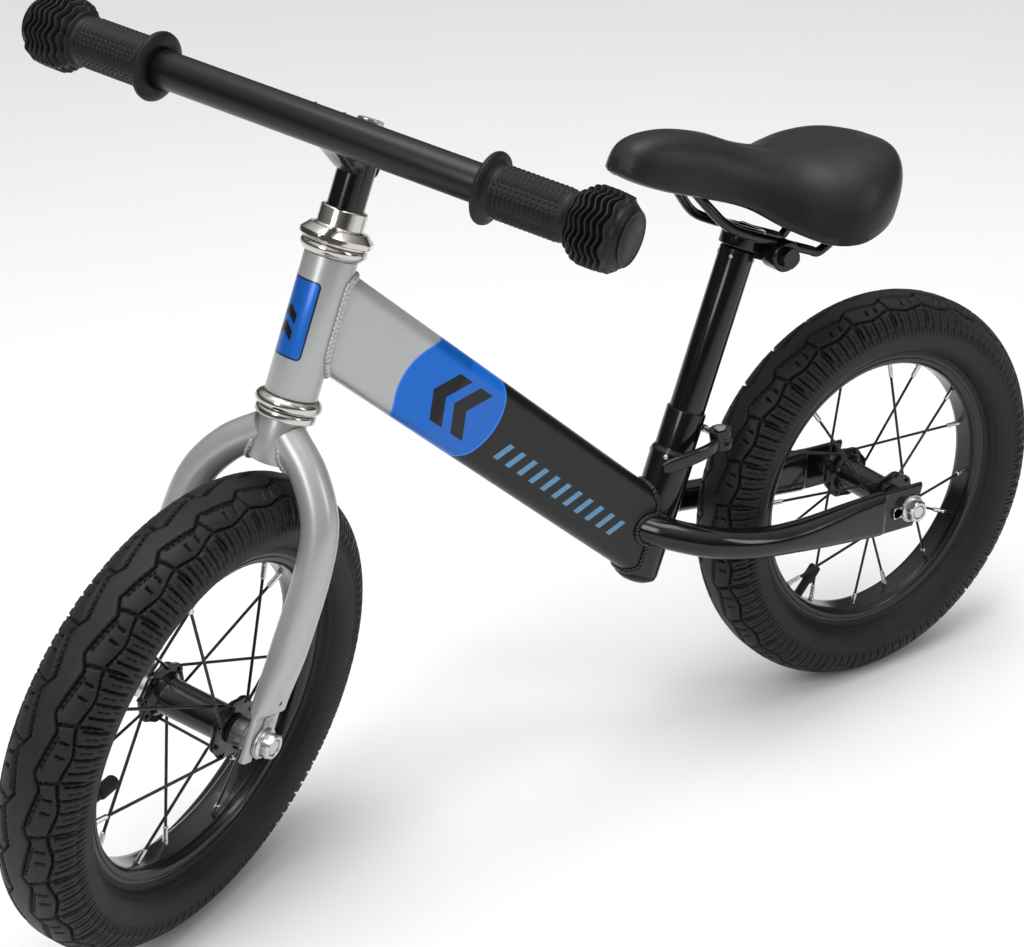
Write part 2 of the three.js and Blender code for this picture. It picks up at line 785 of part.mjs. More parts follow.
// A flat bar, taller than it is thick, along a curve in the lever's plane.
function pressedArm(points) {
  const path = new THREE.CatmullRomCurve3(points, false, 'centripetal');
  const rings = [];
  const steps = 6;
  for (let i = 0; i <= steps; i++) {
    const centre = path.getPointAt(i / steps);
    const across = new THREE.Vector3().crossVectors(path.getTangentAt(i / steps), vec(0, 0, 1));
    rings.push(stadium(centre, across.normalize(), vec(0, 0, 1), 2.4, 5));
  }
  return skin(rings);
}

function chainStay(side) {
  const plate = dropout.inner + dropout.thickness / 2;
  const axleZ = wheel.radius;
  // The front half follows the seat tube, and the back half the axle. Offsets are x, y, z.
  const front = [[45.5, 4, 31], [29.5, 24, 27], [7.5, 38, 20.5], [-22.5, 44.5, 13], [-64.5, plate, 7]];
  const back = [[50, plate, 3.5], [20, plate, 1.5], [-14, plate, 0]];
  const path = [
    ...front.map(([x, y, z]) => vec(seat.x + x, side * y, axleZ + z)),
    ...back.map(([x, y, z]) => vec(x, side * y, axleZ + z)),
  ];
  const tube = pressedTube({
    points: path,
    tall: vec(0, 0, 1),
    radius: stay.radius,
    wall: stay.wall,
    halfFlat: stay.plateHeight / 2,
    flatStart: 0.42,
    flatEnd: 0.86,
    steps: 14,
  });
  const slot = block(-40, 0, side * plate - 10, side * plate + 10,
    axleZ - dropout.slotRadius, axleZ + dropout.slotRadius);
  const hole = discY(dropout.slotRadius, -70, 70, 16).translate(0, 0, axleZ);
  const end = block(-60, -7, side * plate - 10, side * plate + 10, -60, 60).rotateY(-14 * DEG)
    .translate(0, 0, axleZ);
  return cut(tube, slot, hole, end, mainTubeSolid(GAP), seatTubeSpace());
}

// ---- Saddle and post, in the seat tube's frame ----

function seatPost() {
  const { postRadius, postBore, postBottom, postShoulder, postTop } = seat;
  return turnedZ([
    [postBore, postBottom],
    [postRadius, postBottom],
    [postRadius, postShoulder],
    [postBore + 0.1, postShoulder + 1],
    [postBore + 0.1, postTop],
    [postBore - 1.5, postTop],
    [postBore - 1.5, postShoulder - 12],
    [postBore, postShoulder - 13],
  ], 20);
}

function saddleClamp() {
  const { boltX, boltZ, cupInner } = saddle;
  const topRadius = seat.postBore + 0.1;
  const bottom = seat.postShoulder + 1.6;
  const collar = discZ(topRadius + 3.6, bottom, seat.postTop, 20);
  const width = cupInner - GAP;
  const back = join(discY(8.5, -width, width, 14).translate(boltX, 0, boltZ),
    block(boltX, -5, -width, width, boltZ - 8, boltZ + 7));
  return cut(join(collar, back), discZ(topRadius + GAP, bottom - 20, seat.postTop + 5, 20),
    discZ(seat.postRadius + GAP, bottom - 20, bottom, 20),
    block(boltX - 20, -5, -1, 1, 90, 160),
    discY(saddle.boltRadius + GAP, -30, 30, 12).translate(boltX, 0, boltZ));
}

function saddleClampBolt() {
  const { boltX, boltZ, cupOuter } = saddle;
  const shaft = discY(saddle.boltRadius, -cupOuter - 3, cupOuter + 3, 12);
  const headOfBolt = discY(6.8, cupOuter + GAP, cupOuter + 5, 6);
  const endNut = discY(6.8, -cupOuter - 5, -cupOuter - GAP, 6);
  return join(shaft, headOfBolt, endNut).translate(boltX, 0, boltZ);
}

function saddleCup(side) {
  const { boltX, boltZ, cupRadius, cupInner, cupOuter, railRadius, railSpread, railZ } = saddle;
  const body = discY(cupRadius, side * cupInner, side * cupOuter, 18);
  const groove = discY(railRadius + GAP, -30, 30, 10).rotateZ(90 * DEG)
    .translate(0, side * railSpread, railZ);
  return cut(body, groove, discY(saddle.boltRadius + GAP, -40, 40, 12)).translate(boltX, 0, boltZ);
}

// The saddle's frame is at the clamp bolt, square to the post, so its rails run level in it.
function saddleRails() {
  const { railSpread, railRadius, railZ } = saddle;
  const rail = (side) => [
    vec(-52, side * 32, 65),
    vec(-46, side * 28, 43),
    vec(-40, side * (railSpread + 3), 21),
    vec(-31, side * railSpread, railZ),
    vec(-25, side * railSpread, railZ),
    vec(25, side * railSpread, railZ),
    vec(31, side * railSpread, railZ),
    vec(50, side * (railSpread - 1), railZ + 2),
    vec(68, side * (railSpread - 5), 18),
    vec(84, side * (railSpread - 11), 28),
  ];
  const bend = [...rail(1).slice(8), vec(94, 0, 34), ...rail(-1).slice(8).reverse()];
  return join(bentBar(rail(1), railRadius, 16, 6), bentBar(rail(-1), railRadius, 16, 6),
    bentBar(bend, railRadius, 6, 6));
}

// A closed form over the stations, drawn in at the sides and lowered at the top.
function saddleForm(inset, lowered, belowRim) {
  const sides = 12;
  const [rear, nose] = [saddleStations[0].x, saddleStations.at(-1).x];
  const shorter = 1 - (2 * inset) / (nose - rear);
  const middle = (rear + nose) / 2;
  const rings = saddleStations.map((station) => {
    const width = Math.max(station.width - inset, 3);
    const top = station.top - lowered;
    const low = Math.min(station.low + 0.5, top - 2);
    const ring = [];
    for (let i = 0; i < sides; i++) {
      const angle = ((i + 0.5) / sides) * 2 * Math.PI;
      const [c, s] = [Math.cos(angle), Math.sin(angle)];
      const y = width * Math.sign(c) * Math.abs(c) ** 0.7;
      const z = s > 0 ? low + (top - low) * s ** 0.7 : low + belowRim * s;
      ring.push(vec(middle + (station.x - middle) * shorter, y, z));
    }
    return ring;
  });
  return toGeometry(toSolid(skin(rings)));
}

function saddleCushion() {
  const { skinThickness, padThickness } = saddle;
  return cut(saddleForm(0, 0, 3), saddleForm(skinThickness, padThickness, 60));
}

// The plastic base lines the padding from below.
function saddleBase() {
  const { skinThickness, padThickness, baseThickness } = saddle;
  const outer = saddleForm(skinThickness + GAP, padThickness + GAP, 0);
  const under = saddleForm(skinThickness - 3, padThickness + GAP + baseThickness, 80);
  return cut(outer, under);
}

// ---- Assembly ----

function wheelLowPoint(geometry, quaternion) {
  const turned = geometry.clone().applyQuaternion(quaternion);
  turned.computeBoundingBox();
  return -turned.boundingBox.min.z;
}

const forward = vec(Math.sin(steering.angle * DEG), 0, Math.cos(steering.angle * DEG));
const upAxis = vec(-Math.cos(steering.angle * DEG), 0, Math.sin(steering.angle * DEG));
const headBasis = new THREE.Matrix4().makeBasis(forward, vec(0, 1, 0), upAxis);
const headTurn = new THREE.Quaternion().setFromRotationMatrix(headBasis);
const steerTurn = headTurn.clone()
  .multiply(new THREE.Quaternion().setFromAxisAngle(vec(0, 0, 1), steering.rest * DEG));

// The turned front wheel leans, and its tyre still touches the ground.
const axleOffset = vec(steering.rake, 0, 0).applyQuaternion(steerTurn);
const frontAxleZ = wheelLowPoint(tyre(), steerTurn);
const foot = vec(steering.footX, 0, frontAxleZ - axleOffset.z);
const headMatrix = new THREE.Matrix4().compose(foot, headTurn, vec(1, 1, 1));

const seatUp = vec(-Math.cos(seat.angle * DEG), 0, Math.sin(seat.angle * DEG));
const seatForward = vec(Math.sin(seat.angle * DEG), 0, Math.cos(seat.angle * DEG));
const seatMatrix = new THREE.Matrix4().makeBasis(seatForward, vec(0, 1, 0), seatUp)
  .setPosition(seat.x, 0, seat.z);

function inFrame(matrix) {
  const group = new THREE.Group();
  matrix.decompose(group.position, group.quaternion, group.scale);
  return group;
}

const bike = new THREE.Group();

const frameHead = inFrame(headMatrix);
frameHead.add(named('head_tube', headTube(), silverPaint));
frameHead.add(named('lower_headset_cup', lowerCup(), chrome));
frameHead.add(named('upper_headset_cup', upperCup(), chrome));
bike.add(frameHead);

bike.add(named('main_tube', mainTubeShell(), blackPaint));
bike.add(named('left_stay', chainStay(1), blackPaint));
bike.add(named('right_stay', chainStay(-1), blackPaint));

const steered = inFrame(new THREE.Matrix4().compose(foot, steerTurn, vec(1, 1, 1)));
steered.add(named('fork_steerer', forkSteerer(), silverPaint));
steered.add(named('left_fork_blade', forkBlade(1), silverPaint));
steered.add(named('right_fork_blade', forkBlade(-1), silverPaint));
steered.add(named('crown_race', crownRace(), chrome));
steered.add(named('headset_locknut', locknut(), chrome));
steered.add(named('stem', stem(), blackPaint));
steered.add(named('stem_wedge', stemWedge(), steel));
steered.add(named('stem_bolt', stemBolt(), zinc));
steered.add(named('handlebar', handlebar(), blackPaint));
steered.add(named('left_grip', handGrip(1), gripRubber));
steered.add(named('right_grip', handGrip(-1), gripRubber));
const frontAxle = new THREE.Group();
frontAxle.position.x = steering.rake;
frontAxle.add(named('front_axle', axleWithCones(), zinc));
frontAxle.add(named('front_nut_left', axleNut(90), zinc));
frontAxle.add(named('front_nut_right', mirrorY(axleNut(90)), zinc));
frontAxle.add(wheelPieces('front', frontPhase, frontValveAngle));
steered.add(frontAxle);
bike.add(steered);

const rearAxle = new THREE.Group();
rearAxle.position.z = wheel.radius;
rearAxle.add(named('rear_axle', axleWithCones(), zinc));
rearAxle.add(named('rear_nut_left', axleNut(0), zinc));
rearAxle.add(named('rear_nut_right', mirrorY(axleNut(0)), zinc));
rearAxle.add(wheelPieces('rear', rearPhase, rearValveAngle));
bike.add(rearAxle);

const seatGroup = inFrame(seatMatrix);
seatGroup.add(named('seat_tube', seatTube(), blackPaint));
seatGroup.add(named('seat_tube_plug', seatTubePlug(), blackPlastic));
seatGroup.add(named('seat_clamp', seatClamp(), blackPaint));
seatGroup.add(named('clamp_skewer', clampSkewer(), zinc));
seatGroup.add(named('clamp_lever', clampLever(), blackPaint));
seatGroup.add(named('seat_post', seatPost(), blackPaint));
seatGroup.add(named('saddle_clamp', saddleClamp(), blackPaint));
seatGroup.add(named('saddle_clamp_bolt', saddleClampBolt(), blackPaint));
seatGroup.add(named('left_saddle_cup', saddleCup(1), blackPaint));
seatGroup.add(named('right_saddle_cup', saddleCup(-1), blackPaint));
const saddleGroup = new THREE.Group();
saddleGroup.position.set(saddle.boltX, 0, saddle.boltZ);
saddleGroup.add(named('saddle_rails', saddleRails(), blackPaint));
saddleGroup.add(named('saddle_base', saddleBase(), blackPlastic));
saddleGroup.add(named('saddle_cushion', saddleCushion(), cover));
seatGroup.add(saddleGroup);
bike.add(seatGroup);

export default bike;
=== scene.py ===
# A child's 12 inch balance bike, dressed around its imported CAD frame.
# Sizes are in millimetres in each sub-part's own frame, and become metres when a piece is made.

import json
from functools import reduce
from types import SimpleNamespace as Sizes
from math import atan2, cos, hypot, pi, radians, sin, sqrt

import bpy
import bmesh
import numpy as np
from mathutils import Matrix, Quaternion, Vector


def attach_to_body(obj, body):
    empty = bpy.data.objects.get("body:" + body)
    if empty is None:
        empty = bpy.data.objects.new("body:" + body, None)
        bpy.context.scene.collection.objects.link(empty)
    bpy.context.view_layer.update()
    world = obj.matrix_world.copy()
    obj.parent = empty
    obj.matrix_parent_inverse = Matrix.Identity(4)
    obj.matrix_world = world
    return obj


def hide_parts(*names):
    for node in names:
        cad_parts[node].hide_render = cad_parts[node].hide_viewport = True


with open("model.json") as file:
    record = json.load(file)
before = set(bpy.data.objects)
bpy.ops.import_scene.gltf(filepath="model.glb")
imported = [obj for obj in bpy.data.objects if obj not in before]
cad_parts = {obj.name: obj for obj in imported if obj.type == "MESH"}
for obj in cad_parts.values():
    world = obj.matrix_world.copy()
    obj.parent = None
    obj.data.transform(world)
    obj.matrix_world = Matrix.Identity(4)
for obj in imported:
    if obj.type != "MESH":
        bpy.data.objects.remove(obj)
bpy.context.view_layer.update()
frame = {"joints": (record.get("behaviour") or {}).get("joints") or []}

MM = 0.001
GAP = 0.3
LEFT = Vector((0, 1, 0))
GROUND = Matrix.Scale(MM, 4)

# ---- Driving dimensions, which the CAD pieces share ----

RIM = Sizes(inner=98.5)
HUB = Sizes(barrel=11.5, flange=20.5, flange_outer=28.3, flange_thickness=3, spoke_circle=17.5)
SPOKE = Sizes(count=16, radius=1.0, nipple_length=12)
TYRE = Sizes(radius=152, pitches=28)
AXLE = Sizes(radius=4.8, end=57.5)
DROPOUT = Sizes(inner=43.8, thickness=4.4, slot=5.3)
PLATE = DROPOUT.inner + DROPOUT.thickness / 2
HEAD = Sizes(crown=162, race=190, cup=195, tube_bottom=203.5, tube_top=289.5, lock=297, lock_top=306.5,
        neck_top=318.4, bar=363.2, stem_top=365, quill=254, tube=15.9, cup_radius=20.3, lock_radius=22.2,
        neck=14, steerer=12.7, crown_radius=14.3, quill_radius=11.1)
RAKE = 3
WEDGE_SLOPE = 25
BAR = Sizes(radius=11.1, reach=52.7, half_length=189.5)
GRIP = Sizes(flange=20.5, flange_at=110.5, body=14.5, knob=22.4, knob_start=161, end=195.5,
        ribs=(116.5, 158))
MAIN_TUBE = Sizes(height=58, width=28, corner=10, front=(418, 373.4), rear=(221.2, 187.9))
BLADE = Sizes(radius=11.2, plate=13.5)
STAY = Sizes(radius=11, plate=17)
SEAT = Sizes(tube=15.9, sleeve=14, sleeve_start=-27, bottom=-118, plug=-124, post=12.5, neck=11,
        shoulder=117, top=134, clamp=20)
LEVER = Sizes(slope=29, cam=8, height=13, length=52, pivot=(-21, 19, -10))
SADDLE = Sizes(bolt_x=-20, bolt_z=122.5, cup_inner=12, cup_outer=28, rail=3.4, spread=20.5, rail_z=7.3)
SPOKE_PHASE = dict(front=13.5, rear=7.6)
VALVE_ANGLE = dict(front=-24, rear=-48.5)

# The eye's place in metres, its angles in degrees, and its lens in millimetres.
CAMERA = Sizes(lens=65.3, shift=(-0.156, -0.0655), azimuth=145.06, elevation=23.58, roll=-0.16,
        place=(0.84534, 0.95156, 0.76846))
LIT_POINT = Vector((0.27, 0, 0.22))

# ---- Frames: local millimetres to the row's metres ----

joints = {j["name"]: j for j in frame["joints"]}


def axes(origin, up, left=LEFT):
    up = Vector(up).normalized()
    left = Vector(left).normalized()
    forward = left.cross(up).normalized()
    turn = Matrix((forward, left, up)).transposed().to_4x4()
    return Matrix.Translation(Vector(origin)) @ turn @ Matrix.Scale(MM, 4)


def joint_axis(name):
    return joints[name]["axis"]


def joint_place(name):
    return joints[name]["pos_m"]


STEER_LEFT = joint_axis("front_wheel_spin")
HEAD_FRAME = axes(joint_place("steering"), joint_axis("steering"))
STEERED = axes(joint_place("steering"), joint_axis("steering"), STEER_LEFT)
FRONT_AXLE = axes(joint_place("front_wheel_spin"), joint_axis("steering"), STEER_LEFT)
REAR_AXLE = axes(joint_place("rear_wheel_spin"), (0, 0, 1))
SADDLE_FRAME = axes(joint_place("saddle_tilt"), joint_axis("seat_height"))
SEAT_FRAME = SADDLE_FRAME @ Matrix.Translation((-SADDLE.bolt_x, 0, -SADDLE.bolt_z))
LEVER_FRAME = axes(joint_place("seat_clamp_lever"), joint_axis("seat_clamp_lever"))


def main_tube_frame():
    front, rear = MAIN_TUBE.front, MAIN_TUBE.rear
    rise = atan2(front[1] - rear[1], front[0] - rear[0])
    origin = Vector((rear[0], 0, rear[1])) * MM
    return axes(origin, (-sin(rise), 0, cos(rise)))


TUBE_FRAME = main_tube_frame()

# ---- Shapes: lists of points and faces, in millimetres ----


class Shape:
    def __init__(self, points, faces):
        self.points = [Vector(p) for p in points]
        self.faces = faces

    def moved(self, matrix):
        return Shape([matrix @ p for p in self.points], self.faces)

    def shifted(self, x=0, y=0, z=0):
        return self.moved(Matrix.Translation((x, y, z)))

    def turned(self, angle, axis="Z"):
        return self.moved(Matrix.Rotation(radians(angle), 4, axis))

    def mirrored(self):
        return Shape([(p.x, -p.y, p.z) for p in self.points], [f[::-1] for f in self.faces])

    def __add__(self, other):
        start = len(self.points)
        return Shape(self.points + other.points, self.faces + [[i + start for i in f] for f in other.faces])


def merged(shapes):
    whole = Shape([], [])
    for shape in shapes:
        whole = whole + shape
    return whole


def softened(profile, radius=0.6, steps=2, closed=False):
    """The outline with each corner rounded, apart from points on the axis."""
    count = len(profile)
    out = []
    for i, (r, z) in enumerate(profile):
        ends = not closed and i in (0, count - 1)
        if ends or r == 0:
            out.append((r, z))
            continue
        here = Vector((r, z))
        before = Vector(profile[i - 1]) - here
        after = Vector(profile[(i + 1) % count]) - here
        reach = min(radius, before.length * 0.4, after.length * 0.4)
        a = here + before.normalized() * reach
        b = here + after.normalized() * reach
        for k in range(steps + 1):
            t = k / steps
            out.append(tuple(a * (1 - t) ** 2 + here * 2 * t * (1 - t) + b * t * t))
    return out


def circle(count):
    """The cosine and sine of evenly spaced angles."""
    return [(cos(2 * pi * i / count), sin(2 * pi * i / count)) for i in range(count)]


def bulge(value, power):
    """A power that keeps the sign, for rounding a circle towards a square."""
    return abs(value) ** power * (1 if value > 0 else -1)


def turned(profile, segments=64, wave=None):
    """A profile of (radius, height) turned about Z. wave changes the radius by angle."""
    points, rings, faces = [], [], []
    for r, z in profile:
        start = len(points)
        for i in range(segments if r else 1):
            angle = 2 * pi * i / segments
            reach = wave(r, z, angle) if wave and r else r
            points.append((reach * cos(angle), reach * sin(angle), z))
        rings.append(range(start, len(points)))
    pairs = list(zip(rings, rings[1:]))
    if profile[0][0] > 0 and profile[-1][0] > 0:
        pairs.append((rings[-1], rings[0]))
    for low, high in pairs:
        for i in range(segments):
            j = (i + 1) % segments
            corners = [low[i % len(low)], low[j % len(low)], high[j % len(high)], high[i % len(high)]]
            face = [c for k, c in enumerate(corners) if c not in corners[:k]]
            if len(face) > 2:
                faces.append(face)
    return Shape(points, faces)


def spun(profile, segments=64, soft=0.6, steps=2, wave=None):
    """A profile turned about Z with its corners softened."""
    return turned(softened(profile, soft, steps, closed=True), segments, wave)


def about_y(shape):
    """Turns a shape made about Z so that its axis is Y."""
    return shape.moved(Matrix.Rotation(radians(-90), 4, "X"))


def disc_z(radius, low, high, segments=48, soft=0.5):
    return spun([(0, low), (radius, low), (radius, high), (0, high)], segments, soft)


def disc_y(radius, low, high, segments=48, soft=0.5):
    return about_y(disc_z(radius, low, high, segments, soft))


def tube_z(inner, outer, low, high, segments=48, soft=0.3, steps=2):
    return spun([(inner, low), (outer, low), (outer, high), (inner, high)], segments, soft, steps)


def block(x0, x1, y0, y1, z0, z1):
    points = [(x, y, z) for x in (x0, x1) for y in (y0, y1) for z in (z0, z1)]
    return Shape(points, [[0, 1, 3, 2], [4, 6, 7, 5], [0, 4, 5, 1], [2, 3, 7, 6], [0, 2, 6, 4], [1, 5, 7, 3]])


def hexagon(across, low, high, segments=48):
    """A hexagonal nut blank about Z, with its corners chamfered by a cone."""
    corner = across / 2 / cos(pi / 6)
    chamfer = (corner - across / 2) * 0.9

    def wave(r, z, angle):
        return min(r, across / 2 / cos((angle % (pi / 3)) - pi / 6))

    return turned([(0, low), (corner - chamfer, low), (corner, low + chamfer * 0.6),
            (corner, high - chamfer * 0.6), (corner - chamfer, high), (0, high)], segments, wave)


def between(a, b, low, high, x):
    return a * ((high - x) / (high - low)) + b * ((x - low) / (high - low))


def spline(points, closed=False, per_span=24):
    """The centripetal curve through the points, as a function of its length's share."""
    pts = [Vector(p) for p in points]
    if closed:
        pts = [pts[-1]] + pts + pts[:2]
    else:
        pts = [pts[0] * 2 - pts[1]] + pts + [pts[-1] * 2 - pts[-2]]
    fine = []
    for i in range(len(pts) - 3):
        p = pts[i:i + 4]
        t = [0.0]
        for a, b in zip(p, p[1:]):
            t.append(t[-1] + max((b - a).length, 1e-6) ** 0.5)
        for k in range(per_span):
            x = t[1] + (t[2] - t[1]) * k / per_span
            a = [between(p[j], p[j + 1], t[j], t[j + 1], x) for j in range(3)]
            b = [between(a[j], a[j + 1], t[j], t[j + 2], x) for j in range(2)]
            fine.append(between(b[0], b[1], t[1], t[2], x))
    fine.append(pts[-2])
    lengths = [0.0]
    for a, b in zip(fine, fine[1:]):
        lengths.append(lengths[-1] + (b - a).length)

    def point(share):
        target = min(max(share, 0), 1) * lengths[-1]
        k = min(int(np.searchsorted(lengths, target, "right")) - 1, len(fine) - 2)
        return fine[k].lerp(fine[k + 1], (target - lengths[k]) / (lengths[k + 1] - lengths[k]))

    return point


def tangent(curve, share, step=0.004):
    return (curve(min(share + step, 1)) - curve(max(share - step, 0))).normalized()


def stadium(centre, across, up, width, height, arc_steps=10):
    """A ring with two flat sides and round top and bottom."""
    ring = []
    for side in (1, -1):
        for i in range(arc_steps + 1):
            angle = pi * i / arc_steps + (0 if side > 0 else pi)
            rise = side * (height - width) + width * sin(angle)
            ring.append(centre + across * (width * cos(angle)) + up * rise)
    return ring


def lofted(rings, capped=True, looped=False):
    count = len(rings[0])
    points = [p for ring in rings for p in ring]
    faces = []
    spans = len(rings) if looped else len(rings) - 1
    for r in range(spans):
        for i in range(count):
            j = (i + 1) % count
            s = (r + 1) % len(rings)
            faces.append([r * count + i, r * count + j, s * count + j, s * count + i])
    if capped and not looped:
        faces.append(list(range(count))[::-1])
        faces.append([(len(rings) - 1) * count + i for i in range(count)])
    return Shape(points, faces)


def smooth_step(x, low, high):
    t = min(max((x - low) / (high - low), 0), 1)
    return t * t * (3 - 2 * t)


def pressed_tube(points, tall, radius, plate, start, end, crease, steps=90):
    """A tube that grows tall towards its far end, and is pressed flat there past a crease."""
    curve = spline(points)
    tall = Vector(tall)
    rings = []
    for i in range(steps + 1):
        share = i / steps
        along = tangent(curve, share)
        across = along.cross(tall).normalized()
        up = across.cross(along).normalized()
        press = smooth_step(share, start, end)
        pinch = smooth_step(share, crease - 0.012, crease + 0.012)
        thin = DROPOUT.thickness / 2
        width = (radius + (0.62 * radius - radius) * press) * (1 - pinch) + thin * pinch
        height = radius + (plate - radius) * press
        rings.append(stadium(curve(share), across, up, width, height))
    return lofted(rings)


def bar_along(points, radius, steps=60, sides=20, closed=False):
    """A round bar along a smooth curve. Its radius is a number, or a function of the length's share."""
    curve = spline(points, closed)
    up = Vector((0.31, 0.22, 0.92))
    rings = []
    for i in range(steps if closed else steps + 1):
        along = tangent(curve, i / steps)
        across = along.cross(up).normalized()
        side = across.cross(along).normalized()
        size = radius(i / steps) if callable(radius) else radius
        rings.append([curve(i / steps) + across * (size * c) + side * (size * s) for c, s in circle(sides)])
    return lofted(rings, looped=closed)


# ---- Making pieces ----


def link(thing):
    bpy.context.scene.collection.objects.link(thing)


def make(name, shape, place, material, body, node=None, sharp=35):
    """A piece that rides on a body, and stands for a CAD node if one is named."""
    mesh = bpy.data.meshes.new(name)
    mesh.from_pydata([place @ p for p in shape.points], [], shape.faces)
    work = bmesh.new()
    work.from_mesh(mesh)
    bmesh.ops.recalc_face_normals(work, faces=work.faces)
    work.to_mesh(mesh)
    work.free()
    piece = bpy.data.objects.new(name, mesh)
    link(piece)
    finish_mesh(mesh, sharp)
    if material:
        attach(piece, material, body, node)
    return piece


def attach(piece, material, body, node=None):
    piece.data.materials.append(material)
    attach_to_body(piece, body)
    if node:
        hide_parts(node)


def finish_mesh(mesh, sharp=35):
    mesh.shade_smooth()
    mesh.set_sharp_from_angle(angle=radians(sharp))


def add_bevel(piece, width, segments=2, angle=40, harden=True):
    bevel = piece.modifiers.new("bevel", "BEVEL")
    bevel.width = width * MM
    bevel.segments = segments
    bevel.limit_method = "ANGLE"
    bevel.angle_limit = radians(angle)
    bevel.harden_normals = harden


def carved(piece, place, *cutters, joined=(), sharp=35):
    """Cuts shapes out of a piece, or joins shapes to it, and keeps the result as its mesh."""
    for shape, operation in [(s, "UNION") for s in joined] + [(s, "DIFFERENCE") for s in cutters]:
        tool = make("tool", shape, place, None, None)
        boolean = piece.modifiers.new("boolean", "BOOLEAN")
        boolean.operation = operation
        boolean.object = tool
        boolean.solver = "EXACT"
        seen = piece.evaluated_get(bpy.context.evaluated_depsgraph_get())
        mesh = bpy.data.meshes.new_from_object(seen)
        piece.modifiers.clear()
        bpy.data.objects.remove(tool)
        piece.data = mesh
    finish_mesh(piece.data, sharp)
    return piece


# ---- Materials ----


class Field:
    """A number that varies over a surface, which plain arithmetic combines into shader nodes."""

    def __init__(self, tree, socket):
        self.tree = tree
        self.socket = socket

    def math(self, operation, *others, clamp=False):
        node = self.tree.nodes.new("ShaderNodeMath")
        node.operation = operation
        node.use_clamp = clamp
        for slot, value in zip(node.inputs, (self, *others)):
            if isinstance(value, Field):
                self.tree.links.new(value.socket, slot)
            else:
                slot.default_value = value
        return Field(self.tree, node.outputs[0])

    def __add__(self, other):
        return self.math("ADD", other)

    def __sub__(self, other):
        return self.math("SUBTRACT", other)

    def __mul__(self, other):
        return self.math("MULTIPLY", other)

    def __abs__(self):
        return self.math("ABSOLUTE")

    def below(self, limit, soft=0.15):
        """1 where the number is under the limit, with a soft edge."""
        return ((self - limit) * (-0.5 / soft)).math("ADD", 0.5, clamp=True)

    def above(self, limit, soft=0.15):
        return ((self - limit) * (0.5 / soft)).math("ADD", 0.5, clamp=True)

    def most(self, other):
        return self.math("MAXIMUM", other)


class Look:
    """A Principled material under construction."""

    def __init__(self, name, **values):
        self.material = bpy.data.materials.new(name)
        self.material.use_nodes = True
        self.tree = self.material.node_tree
        self.shader = self.tree.nodes["Principled BSDF"]
        self.height = None
        for key, value in values.items():
            self.shader.inputs[key.replace("_", " ")].default_value = value
        self.place = self.tree.nodes.new("ShaderNodeTexCoord").outputs["Object"]

    def node(self, kind, **settings):
        made = self.tree.nodes.new(kind)
        for key, value in settings.items():
            setattr(made, key, value)
        return made

    def noise(self, per_metre, detail=3, roughness=0.5, stretch=(1, 1, 1), where=None):
        mapping = self.node("ShaderNodeMapping")
        mapping.inputs["Scale"].default_value = stretch
        self.tree.links.new(where or self.place, mapping.inputs["Vector"])
        node = self.node("ShaderNodeTexNoise")
        node.inputs["Scale"].default_value = per_metre
        node.inputs["Detail"].default_value = detail
        node.inputs["Roughness"].default_value = roughness
        self.tree.links.new(mapping.outputs[0], node.inputs["Vector"])
        return Field(self.tree, node.outputs["Fac"])

    def cells(self, per_metre, feature="F1", randomness=1.0):
        node = self.node("ShaderNodeTexVoronoi", feature=feature)
        node.inputs["Scale"].default_value = per_metre
        node.inputs["Randomness"].default_value = randomness
        self.tree.links.new(self.place, node.inputs["Vector"])
        return Field(self.tree, node.outputs["Distance"])

    def attribute(self, name):
        node = self.node("ShaderNodeAttribute", attribute_name=name)
        return Field(self.tree, node.outputs["Fac"])

    def local(self, matrix):
        """The place in another frame, as three numbers in that frame's millimetres."""
        inverse = matrix.inverted()
        out = []
        for row in range(3):
            node = self.node("ShaderNodeVectorMath", operation="DOT_PRODUCT")
            node.inputs[1].default_value = inverse[row][:3]
            self.tree.links.new(self.place, node.inputs[0])
            out.append(Field(self.tree, node.outputs["Value"]) + inverse[row][3])
        return out

    def mix(self, mask, low, high):
        """A colour from low to high as the mask goes from 0 to 1."""
        node = self.node("ShaderNodeMix", data_type="RGBA")
        self.tree.links.new(mask.socket, node.inputs["Factor"])
        for value, slot in ((low, node.inputs[6]), (high, node.inputs[7])):
            if isinstance(value, tuple):
                slot.default_value = (*value, 1)
            else:
                self.tree.links.new(value, slot)
        return node.outputs[2]

    def colour(self, socket):
        self.tree.links.new(socket, self.shader.inputs["Base Color"])

    def paint(self, mask, low, high):
        self.colour(self.mix(mask, low, high))

    def vary(self, socket_name, mask, low, high):
        """A shader value that goes from low to high with the mask."""
        self.tree.links.new((mask * (high - low) + low).socket, self.shader.inputs[socket_name])

    def bump(self, field, depth_mm):
        """Raises the surface by up to depth_mm where the field is 1. Several bumps add up."""
        raised = field * (depth_mm * MM)
        self.height = raised if self.height is None else self.height + raised

    def done(self):
        if self.height is not None:
            node = self.node("ShaderNodeBump")
            node.inputs["Distance"].default_value = 1
            self.tree.links.new(self.height.socket, node.inputs["Height"])
            self.tree.links.new(node.outputs[0], self.shader.inputs["Normal"])
        return self.material


SILVER = (0.43, 0.435, 0.438)
BLACK = (0.0045, 0.0045, 0.005)
BLUE = (0.003, 0.13, 0.56)
PALE_BLUE = (0.10, 0.26, 0.44)
DARK_INK = (0.006, 0.006, 0.008)


def tint(colour, factor):
    return tuple(c * factor for c in colour)


def enamel(look):
    """The slight ripple and dust nibs of sprayed enamel."""
    look.bump(look.noise(260, 2), 0.012)
    look.bump(look.noise(2600, 1).above(0.74, 0.03), 0.004)


